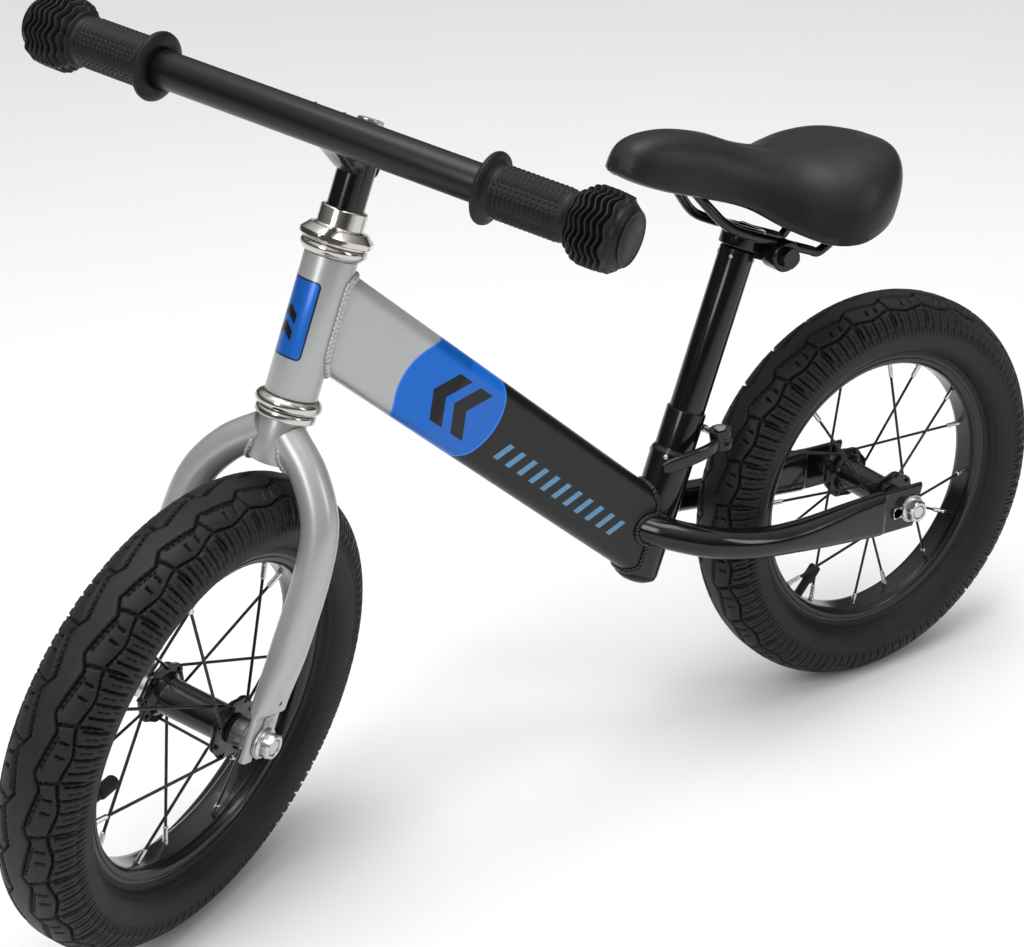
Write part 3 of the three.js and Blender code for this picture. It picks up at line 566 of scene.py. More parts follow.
def silver_flake(look):
    flake = look.noise(5200, 1)
    cloud = look.noise(22, 3)
    light = look.mix(flake, tint(SILVER, 0.86), tint(SILVER, 1.16))
    return look.mix(cloud.above(0.5, 0.5), light, tint(SILVER, 0.96))


def chevrons(along, across, start, depth, half_height, slope=0.6):
    """A pair of V marks that point towards the head."""
    run = along + abs(across) * slope - start
    inside = abs(across).below(half_height)
    first = run.above(0) * run.below(depth)
    second = run.above(depth * 1.7) * run.below(depth * 2.7)
    return first.most(second) * inside


def silver_paint():
    look = Look("silver_paint", Metallic=0.45, Roughness=0.36, Coat_Weight=0.35, Coat_Roughness=0.12)
    look.colour(silver_flake(look))
    enamel(look)
    return look.done()


def head_paint():
    """Silver, with a blue panel on the front of the head tube."""
    look = Look("head_paint", Metallic=0.4, Roughness=0.36, Coat_Weight=0.35, Coat_Roughness=0.12)
    forward, left, up = look.local(HEAD_FRAME)
    around = left.math("ARCTAN2", forward) * HEAD.tube
    middle = (PANEL.low + PANEL.high) / 2
    half_high = (PANEL.high - PANEL.low) / 2
    corner = PANEL.corner
    over_x = (abs(around) - (PANEL.half_width - corner)).most(0)
    over_z = (abs(up - middle) - (half_high - corner)).most(0)
    reach = (over_x * over_x + over_z * over_z).math("SQRT")
    panel = reach.below(corner)
    inner = reach.below(corner - PANEL.edge)
    marks = chevrons(up, around, middle - 9, 6, 7, 0.7)
    ink = look.mix(inner, DARK_INK, look.mix(marks, BLUE, DARK_INK))
    look.paint(panel, silver_flake(look), ink)
    enamel(look)
    return look.done()


def tube_paint():
    """The main tube: silver in front, black behind, with a round blue patch and pale dashes between."""
    look = Look("tube_paint", Roughness=0.3, Coat_Weight=0.12, Coat_Roughness=0.12, Specular_IOR_Level=0.3)
    along, left, across = look.local(TUBE_FRAME)
    from_patch = along - PATCH.along
    distance = (from_patch * from_patch + across * across).math("SQRT")
    patch = distance.below(PATCH.radius)
    rim = patch * distance.above(PATCH.radius - PATCH.edge)
    marks = chevrons(from_patch, across, -14, 11, 17)
    ink = look.mix(marks, BLUE, DARK_INK)
    ink = look.mix(rim, ink, tuple(c * 1.5 + 0.03 for c in BLUE))
    grain = look.noise(900, 2)
    black = look.mix(grain, tint(BLACK, 0.8), tint(BLACK, 1.5))
    slanted = along + (across - DASHES.centre) * DASHES.slant
    beat = slanted.math("MODULO", DASHES.pitch)
    dashes = beat.above(0.2) * beat.below(DASHES.width)
    dashes = dashes * abs(across - DASHES.centre).below(DASHES.half_height)
    dashes = dashes * slanted.above(DASHES.start) * slanted.below(DASHES.end) * left.above(0)
    black = look.mix(dashes, black, PALE_BLUE)
    base = look.mix(along.above(PATCH.along, 0.3), black, silver_flake(look))
    look.paint(patch, base, ink)
    look.vary("Metallic", along.above(PATCH.along, 0.3), 0.0, 0.4)
    enamel(look)
    return look.done()


def black_paint(name="black_paint", roughness=0.16, base=BLACK, coat=0.22):
    look = Look(name, Metallic=0.0, Roughness=roughness, Coat_Weight=coat, Coat_Roughness=0.06,
            Specular_IOR_Level=0.3)
    wear = look.noise(70, 4)
    look.paint(wear, tint(base, 0.7), tint(base, 1.6))
    enamel(look)
    return look.done()


def bright_metal(name, base, roughness, lines=0.0):
    look = Look(name, Metallic=1.0)
    tarnish = look.noise(140, 5, 0.6)
    look.paint(tarnish, tint(base, 0.84), base)
    look.vary("Roughness", tarnish, roughness * 0.7, roughness * 1.4)
    look.bump(look.noise(1500, 2, stretch=(1, 1, 6)), 0.002 + lines)
    return look.done()


def tyre_rubber():
    look = Look("tyre_rubber", Specular_IOR_Level=0.26)
    dust = look.noise(60, 5, 0.62)
    fine = look.noise(1400, 3)
    # The tread attribute paints the grooves near black under the crown colour: painted shade in the tread's
    # recesses. The crown's dusty variation is real dust.
    depth = look.attribute("tread")
    crown = look.mix(dust, (0.0075, 0.0075, 0.008), (0.016, 0.0155, 0.0155))
    look.paint(depth, (0.0025, 0.0025, 0.003), crown)
    look.vary("Roughness", dust, 0.42, 0.66)
    look.bump(fine, 0.05)
    return look.done()


def moulded(name, base, roughness=0.6, grain=900, depth=0.03):
    look = Look(name, Specular_IOR_Level=0.25)
    cloud = look.noise(90, 4)
    look.paint(cloud, tint(base, 0.75), tint(base, 1.35))
    look.vary("Roughness", look.noise(300, 3), roughness * 0.85, roughness * 1.15)
    look.bump(look.noise(grain, 3), depth)
    return look.done()


def saddle_cover():
    look = Look("saddle_cover", Specular_IOR_Level=0.32, Sheen_Weight=0.03, Sheen_Roughness=0.5)
    cells = look.cells(1500)
    creases = look.noise(420, 4, 0.6)
    tone = look.noise(26, 4)
    base = look.mix(tone, (0.0065, 0.0055, 0.0055), (0.011, 0.009, 0.009))
    look.paint(creases.above(0.62, 0.12), base, (0.004, 0.0036, 0.0036))
    look.vary("Roughness", tone, 0.34, 0.46)
    look.bump(cells, 0.05)
    look.bump(creases, 0.06)
    return look.done()


PANEL = Sizes(low=226.5, high=274.3, half_width=16.7, corner=3.2, edge=1.0)
PATCH = Sizes(along=185, radius=40, edge=1.0)
DASHES = Sizes(start=12, end=134, centre=-8, half_height=6.5, pitch=11.5, width=4.6, slant=0.45)

SILVER_PAINT = silver_paint()
HEAD_PAINT = head_paint()
TUBE_PAINT = tube_paint()
BLACK_PAINT = black_paint()
BAR_PAINT = black_paint("bar_paint", 0.36, (0.003, 0.003, 0.0032), 0.05)
RIM_PAINT = black_paint("rim_paint", 0.24, (0.006, 0.006, 0.0065))
CHROME = bright_metal("bright_plate", (0.62, 0.60, 0.56), 0.16)
ZINC = bright_metal("zinc", (0.60, 0.61, 0.60), 0.3)
NIPPLE = bright_metal("nipple", (0.66, 0.66, 0.66), 0.25)
SPOKE_PAINT = black_paint("spoke_paint", 0.35, (0.008, 0.008, 0.008))
TYRE_RUBBER = tyre_rubber()
TUBE_RUBBER = moulded("tube_rubber", (0.012, 0.012, 0.012))
GRIP_RUBBER = moulded("grip_rubber", (0.0075, 0.0075, 0.0078), 0.46, 1300, 0.03)
BLACK_PLASTIC = moulded("black_plastic", (0.012, 0.012, 0.012), 0.42, 700, 0.02)
SADDLE_COVER = saddle_cover()

# ---- Wheels, about Y at the axle ----


def tyre_profile():
    """The tyre's outside from bead to bead: distance across, radius and normal, by arc length."""
    half = [(0, 152), (7, 151.7), (14, 149.4), (20, 144.8), (24.4, 138.6), (26.5, 131.5), (26.2, 124),
            (23.4, 117.2), (18.6, 112.4), (13.5, 110.0)]
    points = [(-y, r, 0) for y, r in half[:0:-1]] + [(y, r, 0) for y, r in half]
    curve = spline(points)
    fine = [curve(i / 400) for i in range(401)]
    arc = np.concatenate([[0], np.cumsum([(b - a).length for a, b in zip(fine, fine[1:])])])
    return np.array([p[:2] for p in fine]), arc - arc[-1] / 2


def tread_height(u, v):
    """Height of the tread, from -1 in a groove to 0 on a block, at u pitches round and v mm across."""
    pitch = 2 * pi * TYRE.radius / TYRE.pitches
    t = np.mod(u + np.where(v >= 0, 0, 0.5), 1)
    w = np.abs(v)
    cuts = []

    def cut(distance, half_width, low=-1, high=99, deep=1.0, soft=0.45, across=w):
        """A groove along the line where distance is 0, where the place across is from low to high."""
        edge = np.clip((half_width + soft - np.abs(distance)) / (2 * soft), 0, 1)
        cuts.append(deep * (edge * edge * (3 - 2 * edge)) * ((across > low) & (across < high)))

    jog = 0.26
    edge = 4.6 + 5.2 * np.where(t < 1 - jog, t / (1 - jog), (1 - t) / jog)
    cut(w - edge, 0.8)
    cut(w - edge - 2.2, 0.5, 0.05, 0.7, 0.55, across=t)
    cut(w - (20.5 + 1.6 * np.cos(2 * pi * (t - 0.4))), 0.75, 15, 26)
    cut((t - 0.86 - (w - 9) * 0.006) * pitch, 1.0, 8.5, 37)
    for at in (0.36, 0.6):
        cut((t - at) * pitch + (w - 15) * 0.15, 0.8, 12.8, 17.8, 0.9)
    for k in range(4):
        at = (0.11 + k * 0.25) % 1
        lean = (w - 22) * 0.12
        cut((t - at) * pitch - lean, 0.75, 22.5, 38.5, 0.9)
        cut((t - (at + 0.125) % 1) * pitch - lean, 0.45, 25, 33, 0.5)
    cut((np.mod(u * 8, 1) - 0.5) * pitch / 8, 0.6, 35, 41.2, 0.5)
    for ring, half_width, deep in ((42.6, 0.5, 0.45), (45.2, 0.35, 0.3), (57.5, 0.9, 0.55)):
        cut(w - ring, half_width, deep=deep)
    return -reduce(np.maximum, cuts)


def tyre(prefix, place, body):
    outline, arc = tyre_profile()
    end = arc[-1]
    spacing = [(20, 0.78), (42, 0.95), (end - 0.01, 1.7)]
    half = [0.0]
    for limit, step in spacing:
        count = max(1, round((limit - half[-1]) / step))
        half += list(np.linspace(half[-1], limit, count + 1)[1:])
    v = np.array([-x for x in half[:0:-1]] + half)
    y = np.interp(v, arc, outline[:, 0])
    r = np.interp(v, arc, outline[:, 1])
    dy, dr = np.gradient(y, v), np.gradient(r, v)
    length = np.hypot(dy, dr)
    normal_y, normal_r = -dr / length, dy / length
    around = TYRE.pitches * 44
    u = np.arange(around) * TYRE.pitches / around
    height = tread_height(u[:, None], v[None, :])
    depth = 2.3 * np.clip((60 - np.abs(v)) / 30, 0.35, 1)
    yy = y + normal_y * height * depth
    rr = r + normal_r * height * depth
    angle = (u * 2 * pi / TYRE.pitches)[:, None]
    points = np.stack([rr * np.cos(angle), yy, rr * np.sin(angle)], axis=-1).reshape(-1, 3)
    columns = len(v)
    inner_y = 10.9
    inner = [(y[-1] - 0.6, r[-1] - 3), (inner_y, 108), (inner_y, 103.5), (8.5, 103.5), (9.0, 112),
            (-9.0, 112), (-8.5, 103.5), (-inner_y, 103.5), (-inner_y, 108), (y[0] + 0.6, r[0] - 3)]
    lining = np.array([[(ri * cos(a), yi, ri * sin(a)) for yi, ri in inner] for a in angle[:, 0]])
    grid = np.concatenate([points.reshape(around, columns, 3), lining], axis=1)
    width = grid.shape[1]
    i, j = np.meshgrid(np.arange(around), np.arange(width), indexing="ij")
    following, beside = (i + 1) % around, (j + 1) % width
    i, following = i * width, following * width
    faces = np.stack([i + j, i + beside, following + beside, following + j], -1)
    matrix = np.array(place)
    world = grid.reshape(-1, 3) @ matrix[:3, :3].T + matrix[:3, 3]
    mesh = bpy.data.meshes.new(prefix + "_tyre_tread")
    mesh.from_pydata(world.tolist(), [], faces.reshape(-1, 4).tolist())
    tread = mesh.attributes.new("tread", "FLOAT", "POINT")
    # 0 at a groove's bottom and 1 on the blocks and the lining: the tyre's material paints painted shade into
    # the grooves by it.
    groove_shade_mask = np.concatenate([1 + height, np.ones((around, len(inner)))], axis=1)
    tread.data.foreach_set("value", groove_shade_mask.ravel().astype(np.float32))
    piece = bpy.data.objects.new(prefix + "_tyre_tread", mesh)
    link(piece)
    finish_mesh(mesh, 60)
    attach(piece, TYRE_RUBBER, body, prefix + "_tyre")


def rim(prefix, place, body):
    half = [(98.5, 0), (98.5, 6.5), (99.3, 9.6), (101.4, 11.9), (104.0, 12.7), (104.3, 12.2), (104.8, 12.2),
            (105.1, 12.7), (109.0, 12.7), (109.3, 12.2), (109.3, 11.8), (102.6, 11.7), (101.4, 6.5),
            (101.2, 0)]
    upper = softened(half, 0.5, 2)
    profile = upper + [(r, -y) for r, y in upper[::-1][1:-1]]
    make(prefix + "_rim_form", about_y(turned(profile, 144)), place, RIM_PAINT, body, prefix + "_rim", 30)


def hub(prefix, place, body):
    lobes = SPOKE.count // 2
    outer, thick, barrel = HUB.flange_outer, HUB.flange_thickness, HUB.barrel
    phases = {1: SPOKE_PHASE[prefix], -1: SPOKE_PHASE[prefix] + 360 / SPOKE.count}

    def scalloped(r, z, angle):
        if r < HUB.flange - 3:
            return r
        turn = angle + radians(phases[1 if z > 0 else -1])
        return r - 1.3 * (0.5 - 0.5 * cos(lobes * turn))

    half = [(6, outer), (HUB.flange, outer), (HUB.flange, outer - thick), (barrel + 3, outer - thick - 1),
            (barrel, outer - thick - 5)]
    outline = half + [(r, -z) for r, z in half[::-1]]
    piece = make(prefix + "_hub_form", about_y(spun(outline, 96, 0.7, wave=scalloped)), place, RIM_PAINT,
            body, prefix + "_hub")
    holes = []
    for side, phase in phases.items():
        low, high = sorted((side * (outer + 2), side * (outer - thick - 0.9)))
        for i in range(lobes):
            angle = radians(phase + i * 360 / lobes)
            holes.append(disc_y(1.5, low, high, 12, 0.1).shifted(x=HUB.spoke_circle * cos(angle),
                    z=HUB.spoke_circle * sin(angle)))
    carved(piece, place, merged(holes))
    seal = about_y(tube_z(4.9, 9.6, outer + 0.1, outer + 1.2, 40, 0.4))
    make(prefix + "_hub_seals", seal + seal.mirrored(), place, BLACK_PLASTIC, body)


def spoke(side, hub_angle, rim_angle, outside):
    """A wire with its bent head through the flange, and its nipple at the rim."""
    def at(radius, y, angle):
        return Vector((radius * cos(radians(angle)), side * y, radius * sin(radians(angle))))

    def set_up(shape, foot, way):
        turn = Vector((0, 0, 1)).rotation_difference(way)
        return shape.moved(Matrix.Translation(foot) @ turn.to_matrix().to_4x4())

    flange = HUB.flange_outer - HUB.flange_thickness / 2
    outward = 1 if outside else -1
    start = at(HUB.spoke_circle, flange + 2.9 * outward, hub_angle)
    end = at(RIM.inner + 0.6, 3.2, rim_angle)
    along = (end - start).normalized()
    nipple_start = start + along * ((end - start).length - SPOKE.nipple_length)
    head = at(HUB.spoke_circle, flange - 2.4 * outward, hub_angle)
    path = [head, at(HUB.spoke_circle, flange, hub_angle), start + along * 1.4, start + along * 5,
            start + along * 20, nipple_start + along * 3]
    wire = bar_along(path, SPOKE.radius, 30, 10)
    cap = spun([(0, 0), (1.7, 0), (1.7, 0.9), (0, 1.3)], 16, 0.3)
    nipple = spun([(0, 0), (1.25, 0), (1.7, 0.8), (1.75, 8.2), (2.0, 9.6), (2.0, 12.4), (0, 12.4)], 14, 0.25)
    return wire + set_up(cap, head, Vector((0, -side * outward, 0))), set_up(nipple, nipple_start, along)


def spokes(prefix, place, body):
    pitch = 720 / SPOKE.count
    pairs = SPOKE.count // 4
    for side, word in ((1, "left"), (-1, "right")):
        for i in range(pairs):
            first = SPOKE_PHASE[prefix] + i * 360 / pairs + (0 if side > 0 else 360 / SPOKE.count)
            wire_a, nipple_a = spoke(side, first, first + pitch, True)
            wire_b, nipple_b = spoke(side, first + pitch, first, False)
            wires = wire_a + wire_b
            name = f"{prefix}_spokes_{word}_{i + 1}"
            piece = make(name + "_wires", wires + nipple_a + nipple_b, place, SPOKE_PAINT, body, name, 50)
            piece.data.materials.append(NIPPLE)
            for polygon in list(piece.data.polygons)[len(wires.faces):]:
                polygon.material_index = 1


def inner_tube(prefix, place, body, ribs=16):
    def knurl(r, z, angle):
        return r - 0.25 * (0.5 - 0.5 * cos(ribs * angle)) if r > 4 else r

    ring = turned([(127 + 16.5 * cos(radians(a)), 16.5 * sin(radians(a))) for a in range(0, 360, 24)], 72)
    cap = spun([(0, 72.6), (3.4, 72.6), (4.5, 74), (4.6, 84.5), (4.1, 86.4), (3.3, 86.8), (0, 86.8)], 64,
            wave=knurl)
    stem = spun([(0, 86), (3.3, 86), (3.3, 98), (4.8, 99.5), (5.5, 104), (0, 104)], 32, 0.5)
    shape = about_y(ring) + (cap + stem).turned(90 - VALVE_ANGLE[prefix], "Y")
    make(prefix + "_valve_and_tube", shape, place, TUBE_RUBBER, body, prefix + "_inner_tube")


def threaded(radius, low, high, pitch=1.0, depth=0.32):
    """The outline of a threaded stretch, drawn as fine ridges."""
    out = []
    z = low
    while z < high - pitch:
        out += [(radius - depth, z), (radius, z + pitch * 0.5)]
        z += pitch
    return out + [(radius - depth, high)]


def axle_and_nuts(place, body, prefix, tab_angle):
    end, radius = AXLE.end, AXLE.radius
    cone_end = DROPOUT.inner - GAP
    start = HUB.flange_outer + 0.6
    half = [(radius, 0), (radius, start), (7, start), (9, start + 2), (9, cone_end - 4.5),
            (8.1, cone_end - 4.2), (8.1, cone_end - 3.6), (9, cone_end - 3.3), (9, cone_end),
            (radius, cone_end)]
    half += threaded(radius, cone_end + 0.3, end) + [(radius - 1.2, end), (0, end)]
    lower = [(r, -z) for r, z in half[::-1][:-1]]
    make(prefix + "_axle_form", about_y(turned(lower + half, 40)), place, ZINC, body, prefix + "_axle", 25)
    nut = wheel_nut(DROPOUT.inner + DROPOUT.thickness + GAP, tab_angle)
    for side, word in ((1, "left"), (-1, "right")):
        make(f"{prefix}_nut_{word}_form", nut if side > 0 else nut.mirrored(), place, ZINC, body,
                f"{prefix}_nut_{word}", 28)


def wheel_nut(outside, tab_angle, bore=5.1, top=58.1):
    """A flanged nut about Y on its washer, whose tab keeps it from turning."""
    def flats(r, z, angle):
        return min(r, 7.5 / cos((angle + 0.3) % (pi / 3) - pi / 6)) if r > 6 else r

    tab = block(6, 17.4, outside, outside + 1.8, -4.2, 4.2)
    tab = tab + disc_y(4.2, outside, outside + 1.8, 24, 0.2).shifted(x=13.8)
    washer = about_y(tube_z(bore, 10.5, outside, outside + 1.8)) + tab.turned(-tab_angle, "Y")
    skirt = spun([(bore, outside + 1.9), (9.8, outside + 1.9), (9.8, outside + 2.7), (8.4, outside + 3.9),
            (bore, outside + 3.9)], 48, 0.3)
    low = outside + 2.2
    high = low + (top - outside - 2.2)
    nut = turned([(bore, low), (8.66, low), (8.66, high - 1.4), (7.1, high), (5.6, high),
            (bore, high - 0.5)], 72, flats)
    return washer + about_y(skirt) + about_y(nut)


def wheel(prefix, place):
    body = prefix + "_wheel"
    tyre(prefix, place, body)
    rim(prefix, place, body)
    hub(prefix, place, body)
    spokes(prefix, place, body)
    inner_tube(prefix, place, body)


# ---- Fork and headset, z up the steering axis ----


def weld(curve_points, radius=2.3, step=2.6, closed=True):
    """A bead of weld along a curve: a bar that swells with every stitch."""
    curve = spline(curve_points, closed)
    length = sum((curve((i + 1) / 60) - curve(i / 60)).length for i in range(60))
    stitches = max(6, round(length / step))

    def size(share):
        return radius * (0.86 + 0.16 * abs(cos(pi * stitches * share)))

    return bar_along(curve_points, size, stitches * 6, 10, closed)


def fork_steerer():
    bore, crown, radius, high = 11.5, HEAD.crown, HEAD.crown_radius, HEAD.race - GAP
    profile = softened([(bore, crown), (radius, crown), (radius, high), (HEAD.steerer, high)], 0.8)
    profile += threaded(HEAD.steerer, HEAD.tube_top, HEAD.neck_top - 8, 1.05) + [(bore, HEAD.neck_top - 8)]
    make("steerer_form", turned(profile), STEERED, SILVER_PAINT, "fork", "fork_steerer", 30)


def blade_path(side):
    points = [(8, 180), (29, 162.5), (44, 139), (48.6, 112), (48.2, 60), (PLATE, 22), (PLATE, -12)]
    return [(RAKE, side * y, z) for y, z in points]


def fork_blade(side, word):
    shape = pressed_tube(blade_path(side), (1, 0, 0), BLADE.radius, BLADE.plate, 0.62, 0.84, 0.85, 160)
    piece = make(word + "_blade_form", shape, STEERED, SILVER_PAINT, "fork", word + "_fork_blade")
    reach, y = DROPOUT.slot, side * PLATE
    slot = block(RAKE - reach, RAKE + reach, y - 10, y + 10, -30, 0)
    round_end = disc_y(reach, -70, 70, 32, 0.01).shifted(x=RAKE)
    radius = HEAD.crown_radius
    stub = turned([(0, 140), (radius + 0.15, 140), (radius + 0.15, 220), (0, 220)], 48)
    tip_hole = disc_y(1.6, -70, 70, 16, 0.01).shifted(x=RAKE, z=27)
    carved(piece, STEERED, stub, slot, round_end, tip_hole, sharp=30)
    add_bevel(piece, 0.5, angle=55, harden=False)
    seam = []
    for c, s in circle(28):
        out = sqrt(max(radius ** 2 - (10.6 * c) ** 2, 0)) + 0.2
        seam.append((10.6 * c + RAKE * 0.4, side * out, 172.6 + 11.4 * s * 0.98 - out * 0.12))
    make(word + "_blade_weld", weld(seam, 1.9), STEERED, SILVER_PAINT, "fork", sharp=80)


def headset():
    low, high = HEAD.cup, HEAD.tube_bottom - GAP
    wide = HEAD.cup_radius
    inner = HEAD.steerer + 1
    cup = spun([(inner, low), (wide - 2.6, low), (wide - 0.2, low + 2.4), (wide - 0.2, high - 2.6),
            (wide - 2.4, high), (inner, high)], 80, 1.4, 4)
    make("lower_cup_form", cup, HEAD_FRAME, CHROME, "frame", "lower_headset_cup", 40)
    low, high = HEAD.tube_top + GAP, HEAD.lock - GAP
    cup = spun([(inner, low), (17, low), (19.8, HEAD.tube_top + 3.4), (20, HEAD.lock - 2.4), (19.2, high),
            (inner, high)], 80, 0.9, 4)
    make("upper_cup_form", cup, HEAD_FRAME, CHROME, "frame", "upper_headset_cup", 40)
    bore = HEAD.steerer + GAP
    low, high = HEAD.race, HEAD.cup - GAP
    race = spun([(bore, low), (18.1, low), (18.3, low + 1), (18.3, HEAD.cup - 1.6), (17.4, high),
            (bore, high)], 80, 0.5)
    make("crown_race_form", race, STEERED, CHROME, "fork", "crown_race", 40)
    locknut(bore)


def locknut(bore):
    """A flange, eight flats, a cone and a neck."""
    low, top, end = HEAD.lock, HEAD.lock_top, HEAD.neck_top
    wide, neck, hole = HEAD.lock_radius, HEAD.neck, HEAD.quill_radius + GAP

    def flats(r, z, angle):
        if r < 18 or z < low + 1:
            return r
        return min(r, (wide - 1.2) / cos(angle % (pi / 4) - pi / 8))

    nut = spun([(bore, low), (wide - 3, low), (wide - 2.2, low + 0.7), (wide - 2.2, low + 1.5),
            (wide, low + 2.3), (wide, low + 5), (wide - 5, top), (neck + 1.2, top), (neck, top + 1),
            (neck, end - 0.8), (neck - 1, end), (hole, end), (hole, end - 7.5), (bore, end - 7.5)], 96, 0.4,
            wave=flats)
    make("locknut_form", nut, STEERED, CHROME, "fork", "headset_locknut", 22)


def head_tube():
    tube = tube_z(14.3, HEAD.tube, HEAD.tube_bottom, HEAD.tube_top, 96, 0.6)
    make("head_tube_form", tube, HEAD_FRAME, HEAD_PAINT, "frame", "head_tube", 40)


# ---- Stem, handlebar and grips ----


def stem(steps=26):
    quill, foot = HEAD.quill_radius, HEAD.quill
    bar_z, top = HEAD.bar, HEAD.stem_top
    rings = []
    for i in range(steps + 1):
        t = i / steps
        x = -quill + 1.5 + t * (BAR.reach - 6.5 + quill - 1.5)
        swell = smooth_step(t, 0.45, 0.95)
        upper = top + (bar_z + 8.6 - top) * t + 2.2 * sin(pi * t) * (1 - swell)
        lower = (bar_z - 25) + 13.5 * smooth_step(t, 0.25, 1.0)
        half = 8.4 + 0.9 * abs(2 * t - 1)
        middle, tall = (upper + lower) / 2, (upper - lower) / 2
        rings.append([Vector((x, half * bulge(c, 0.42), middle + tall * bulge(s, 0.42)))
                      for c, s in circle(28)])
    piece = make("stem_form", disc_z(quill, foot, top, 64), STEERED, BLACK_PAINT, "handlebar", "stem")
    slope = block(-40, 40, -20, 20, -40, 0).turned(WEDGE_SLOPE, "Y").shifted(z=foot + 6)
    bore = disc_z(4.5, foot - 10, top + 1, 32, 0.01)
    across = disc_y(BAR.radius + 0.2, -60, 60, 64, 0.6).shifted(x=BAR.reach, z=bar_z)
    carved(piece, STEERED, slope, across, bore, joined=[lofted(rings)])
    add_bevel(piece, 1.1, 3)
    reach = BAR.radius + 0.3
    collar = weld([(BAR.reach + reach * cos(radians(a)), 9.6, bar_z + reach * sin(radians(a)))
            for a in range(120, 250, 10)], 1.5, closed=False)
    make("stem_weld", collar + collar.mirrored(), STEERED, BLACK_PAINT, "handlebar", sharp=80)


def stem_fixings():
    foot, top = HEAD.quill, HEAD.stem_top + GAP
    wedge = spun([(4.3, foot - 22), (10.6, foot - 22), (11.1, foot - 20), (11.1, foot + 14),
            (4.3, foot + 14)], 48, 0.4)
    piece = make("wedge_form", wedge, STEERED, ZINC, "handlebar", "stem_wedge")
    slope = block(-40, 40, -20, 20, 0, 60).turned(WEDGE_SLOPE, "Y")
    carved(piece, STEERED, slope.shifted(z=foot + 6 - GAP / cos(radians(WEDGE_SLOPE))))
    thread = [(0, foot - 20)] + threaded(4, foot - 20, foot + 8)
    shaft = turned(thread + [(4, foot + 9), (4, top), (0, top)], 32)
    flange = disc_z(10.5, top, top + 1.9, 56, 0.6)
    skirt = spun([(0, top + 1.8), (9, top + 1.8), (7.6, top + 3), (0, top + 3)], 48, 0.4)
    make("stem_bolt_form", shaft + flange + skirt + hexagon(13.6, top + 1.9, top + 6.5), STEERED, ZINC,
            "handlebar", "stem_bolt", 28)


def handlebar():
    tube = about_y(tube_z(BAR.radius - 1.6, BAR.radius, -BAR.half_length, BAR.half_length, 72, 0.5))
    tube = tube.shifted(x=BAR.reach, z=HEAD.bar)
    make("handlebar_form", tube, STEERED, BAR_PAINT, "handlebar", "handlebar", 40)


def grip_outline(bore, rings=8, rib_steps=220):
    """Flange, ribbed body, and a wide knob of soft rings with a flat end."""
    at, start, end, body, flange = GRIP.flange_at, GRIP.knob_start, GRIP.end, GRIP.body, GRIP.flange
    profile = [(bore, at - 3), (body + 1.5, at - 3), (flange - 2.2, at - 2.2), (flange - 0.4, at - 1.3),
            (flange, at), (flange - 0.4, at + 1.3), (flange - 2.4, at + 2.1), (body + 1.6, at + 2.9),
            (body, at + 4.6)]
    low, high = GRIP.ribs
    profile += [(body, low + (high - low) * i / rib_steps) for i in range(rib_steps + 1)]
    pitch = (end - 6 - start) / rings
    for i in range(rings * 12 + 1):
        y = start + (end - 6 - start) * i / (rings * 12)
        swell = smooth_step(y, start - 4, start + 13) * (1 - 0.12 * smooth_step(y, end - 16, end - 4))
        reach = body + (GRIP.knob - body - 0.2) * swell
        groove = (0.5 + 0.5 * cos(2 * pi * (y - start) / pitch)) ** 1.5
        profile.append((reach - 3.4 * groove * swell ** 0.5, y))
    last = profile[-1][0]
    return profile + [(last, end - 5), (last - 1.2, end - 2.6), (last - 3.4, end - 1.2), (15.6, end - 0.5),
            (15, end), (14.2, end), (13.8, end - 0.4), (13.2, end - 0.4), (12.8, end), (3, end), (0, end)]


def grip_relief(r, z, angle):
    """Six panels of ribs with rows of pips between them, and faint lobes on the knob."""
    start, end = GRIP.knob_start, GRIP.end
    low, high = GRIP.ribs
    if z < low - 0.01 or z > high + 0.01:
        if start - 1 < z < end - 5:
            return r + 0.25 * sin(12 * angle) * smooth_step(z, start, start + 10)
        return r
    share = (z - low) / (high - low)
    edge = smooth_step(share, 0, 0.05) * (1 - smooth_step(share, 0.95, 1))
    sector = (angle / (2 * pi) * 6) % 1
    if sector < 0.62:
        rib = 0.5 + 0.5 * cos(2 * pi * (z - low) / 2.9)
        fade = smooth_step(sector, 0, 0.06) * (1 - smooth_step(sector, 0.56, 0.62))
        return r - 0.1 + 0.75 * rib * fade * edge
    across = abs((sector - 0.62) / 0.38 * 2 % 1 - 0.5)
    along = abs((z - low) / 3.4 % 1 - 0.5)
    pip = max(0, 1 - hypot(across * 3.6, along * 3.2))
    return r - 0.1 + 0.7 * smooth_step(pip, 0, 0.6) * edge


def hand_grip(side, word, sides=168):
    start, end = GRIP.knob_start, GRIP.end
    bore, stop = BAR.radius + 0.1, BAR.half_length + GAP
    outside = turned(grip_outline(bore), sides, grip_relief)
    for point in outside.points:
        if start < point.z < end - 4:
            sway = smooth_step(point.z, start, start + 8) * (1 - smooth_step(point.z, end - 9, end - 4))
            point.z += 1.1 * sin(10 * atan2(point.y, point.x)) * sway
    shape = about_y(outside) + about_y(turned([(bore, GRIP.flange_at - 3), (bore, stop), (0, stop)], sides))
    if side < 0:
        shape = shape.mirrored()
    piece = make(word + "_grip_form", shape.shifted(x=BAR.reach, z=HEAD.bar), STEERED, GRIP_RUBBER,
            "handlebar", word + "_grip", 60)
    joined = bmesh.new()
    joined.from_mesh(piece.data)
    bmesh.ops.remove_doubles(joined, verts=joined.verts, dist=1e-6)
    bmesh.ops.recalc_face_normals(joined, faces=joined.faces)
    joined.to_mesh(piece.data)
    joined.free()


# ---- Frame ----


def rounded_ring(x, half_height, half_width, corner, arc=8):
    ring = []
    for k, (sy, sz) in enumerate(((1, 1), (-1, 1), (-1, -1), (1, -1))):
        for i in range(arc + 1):
            angle = pi / 2 * (k + i / arc)
            ring.append(Vector((x, sy * (half_width - corner) + corner * cos(angle),
                    sz * (half_height - corner) + corner * sin(angle))))
    return ring


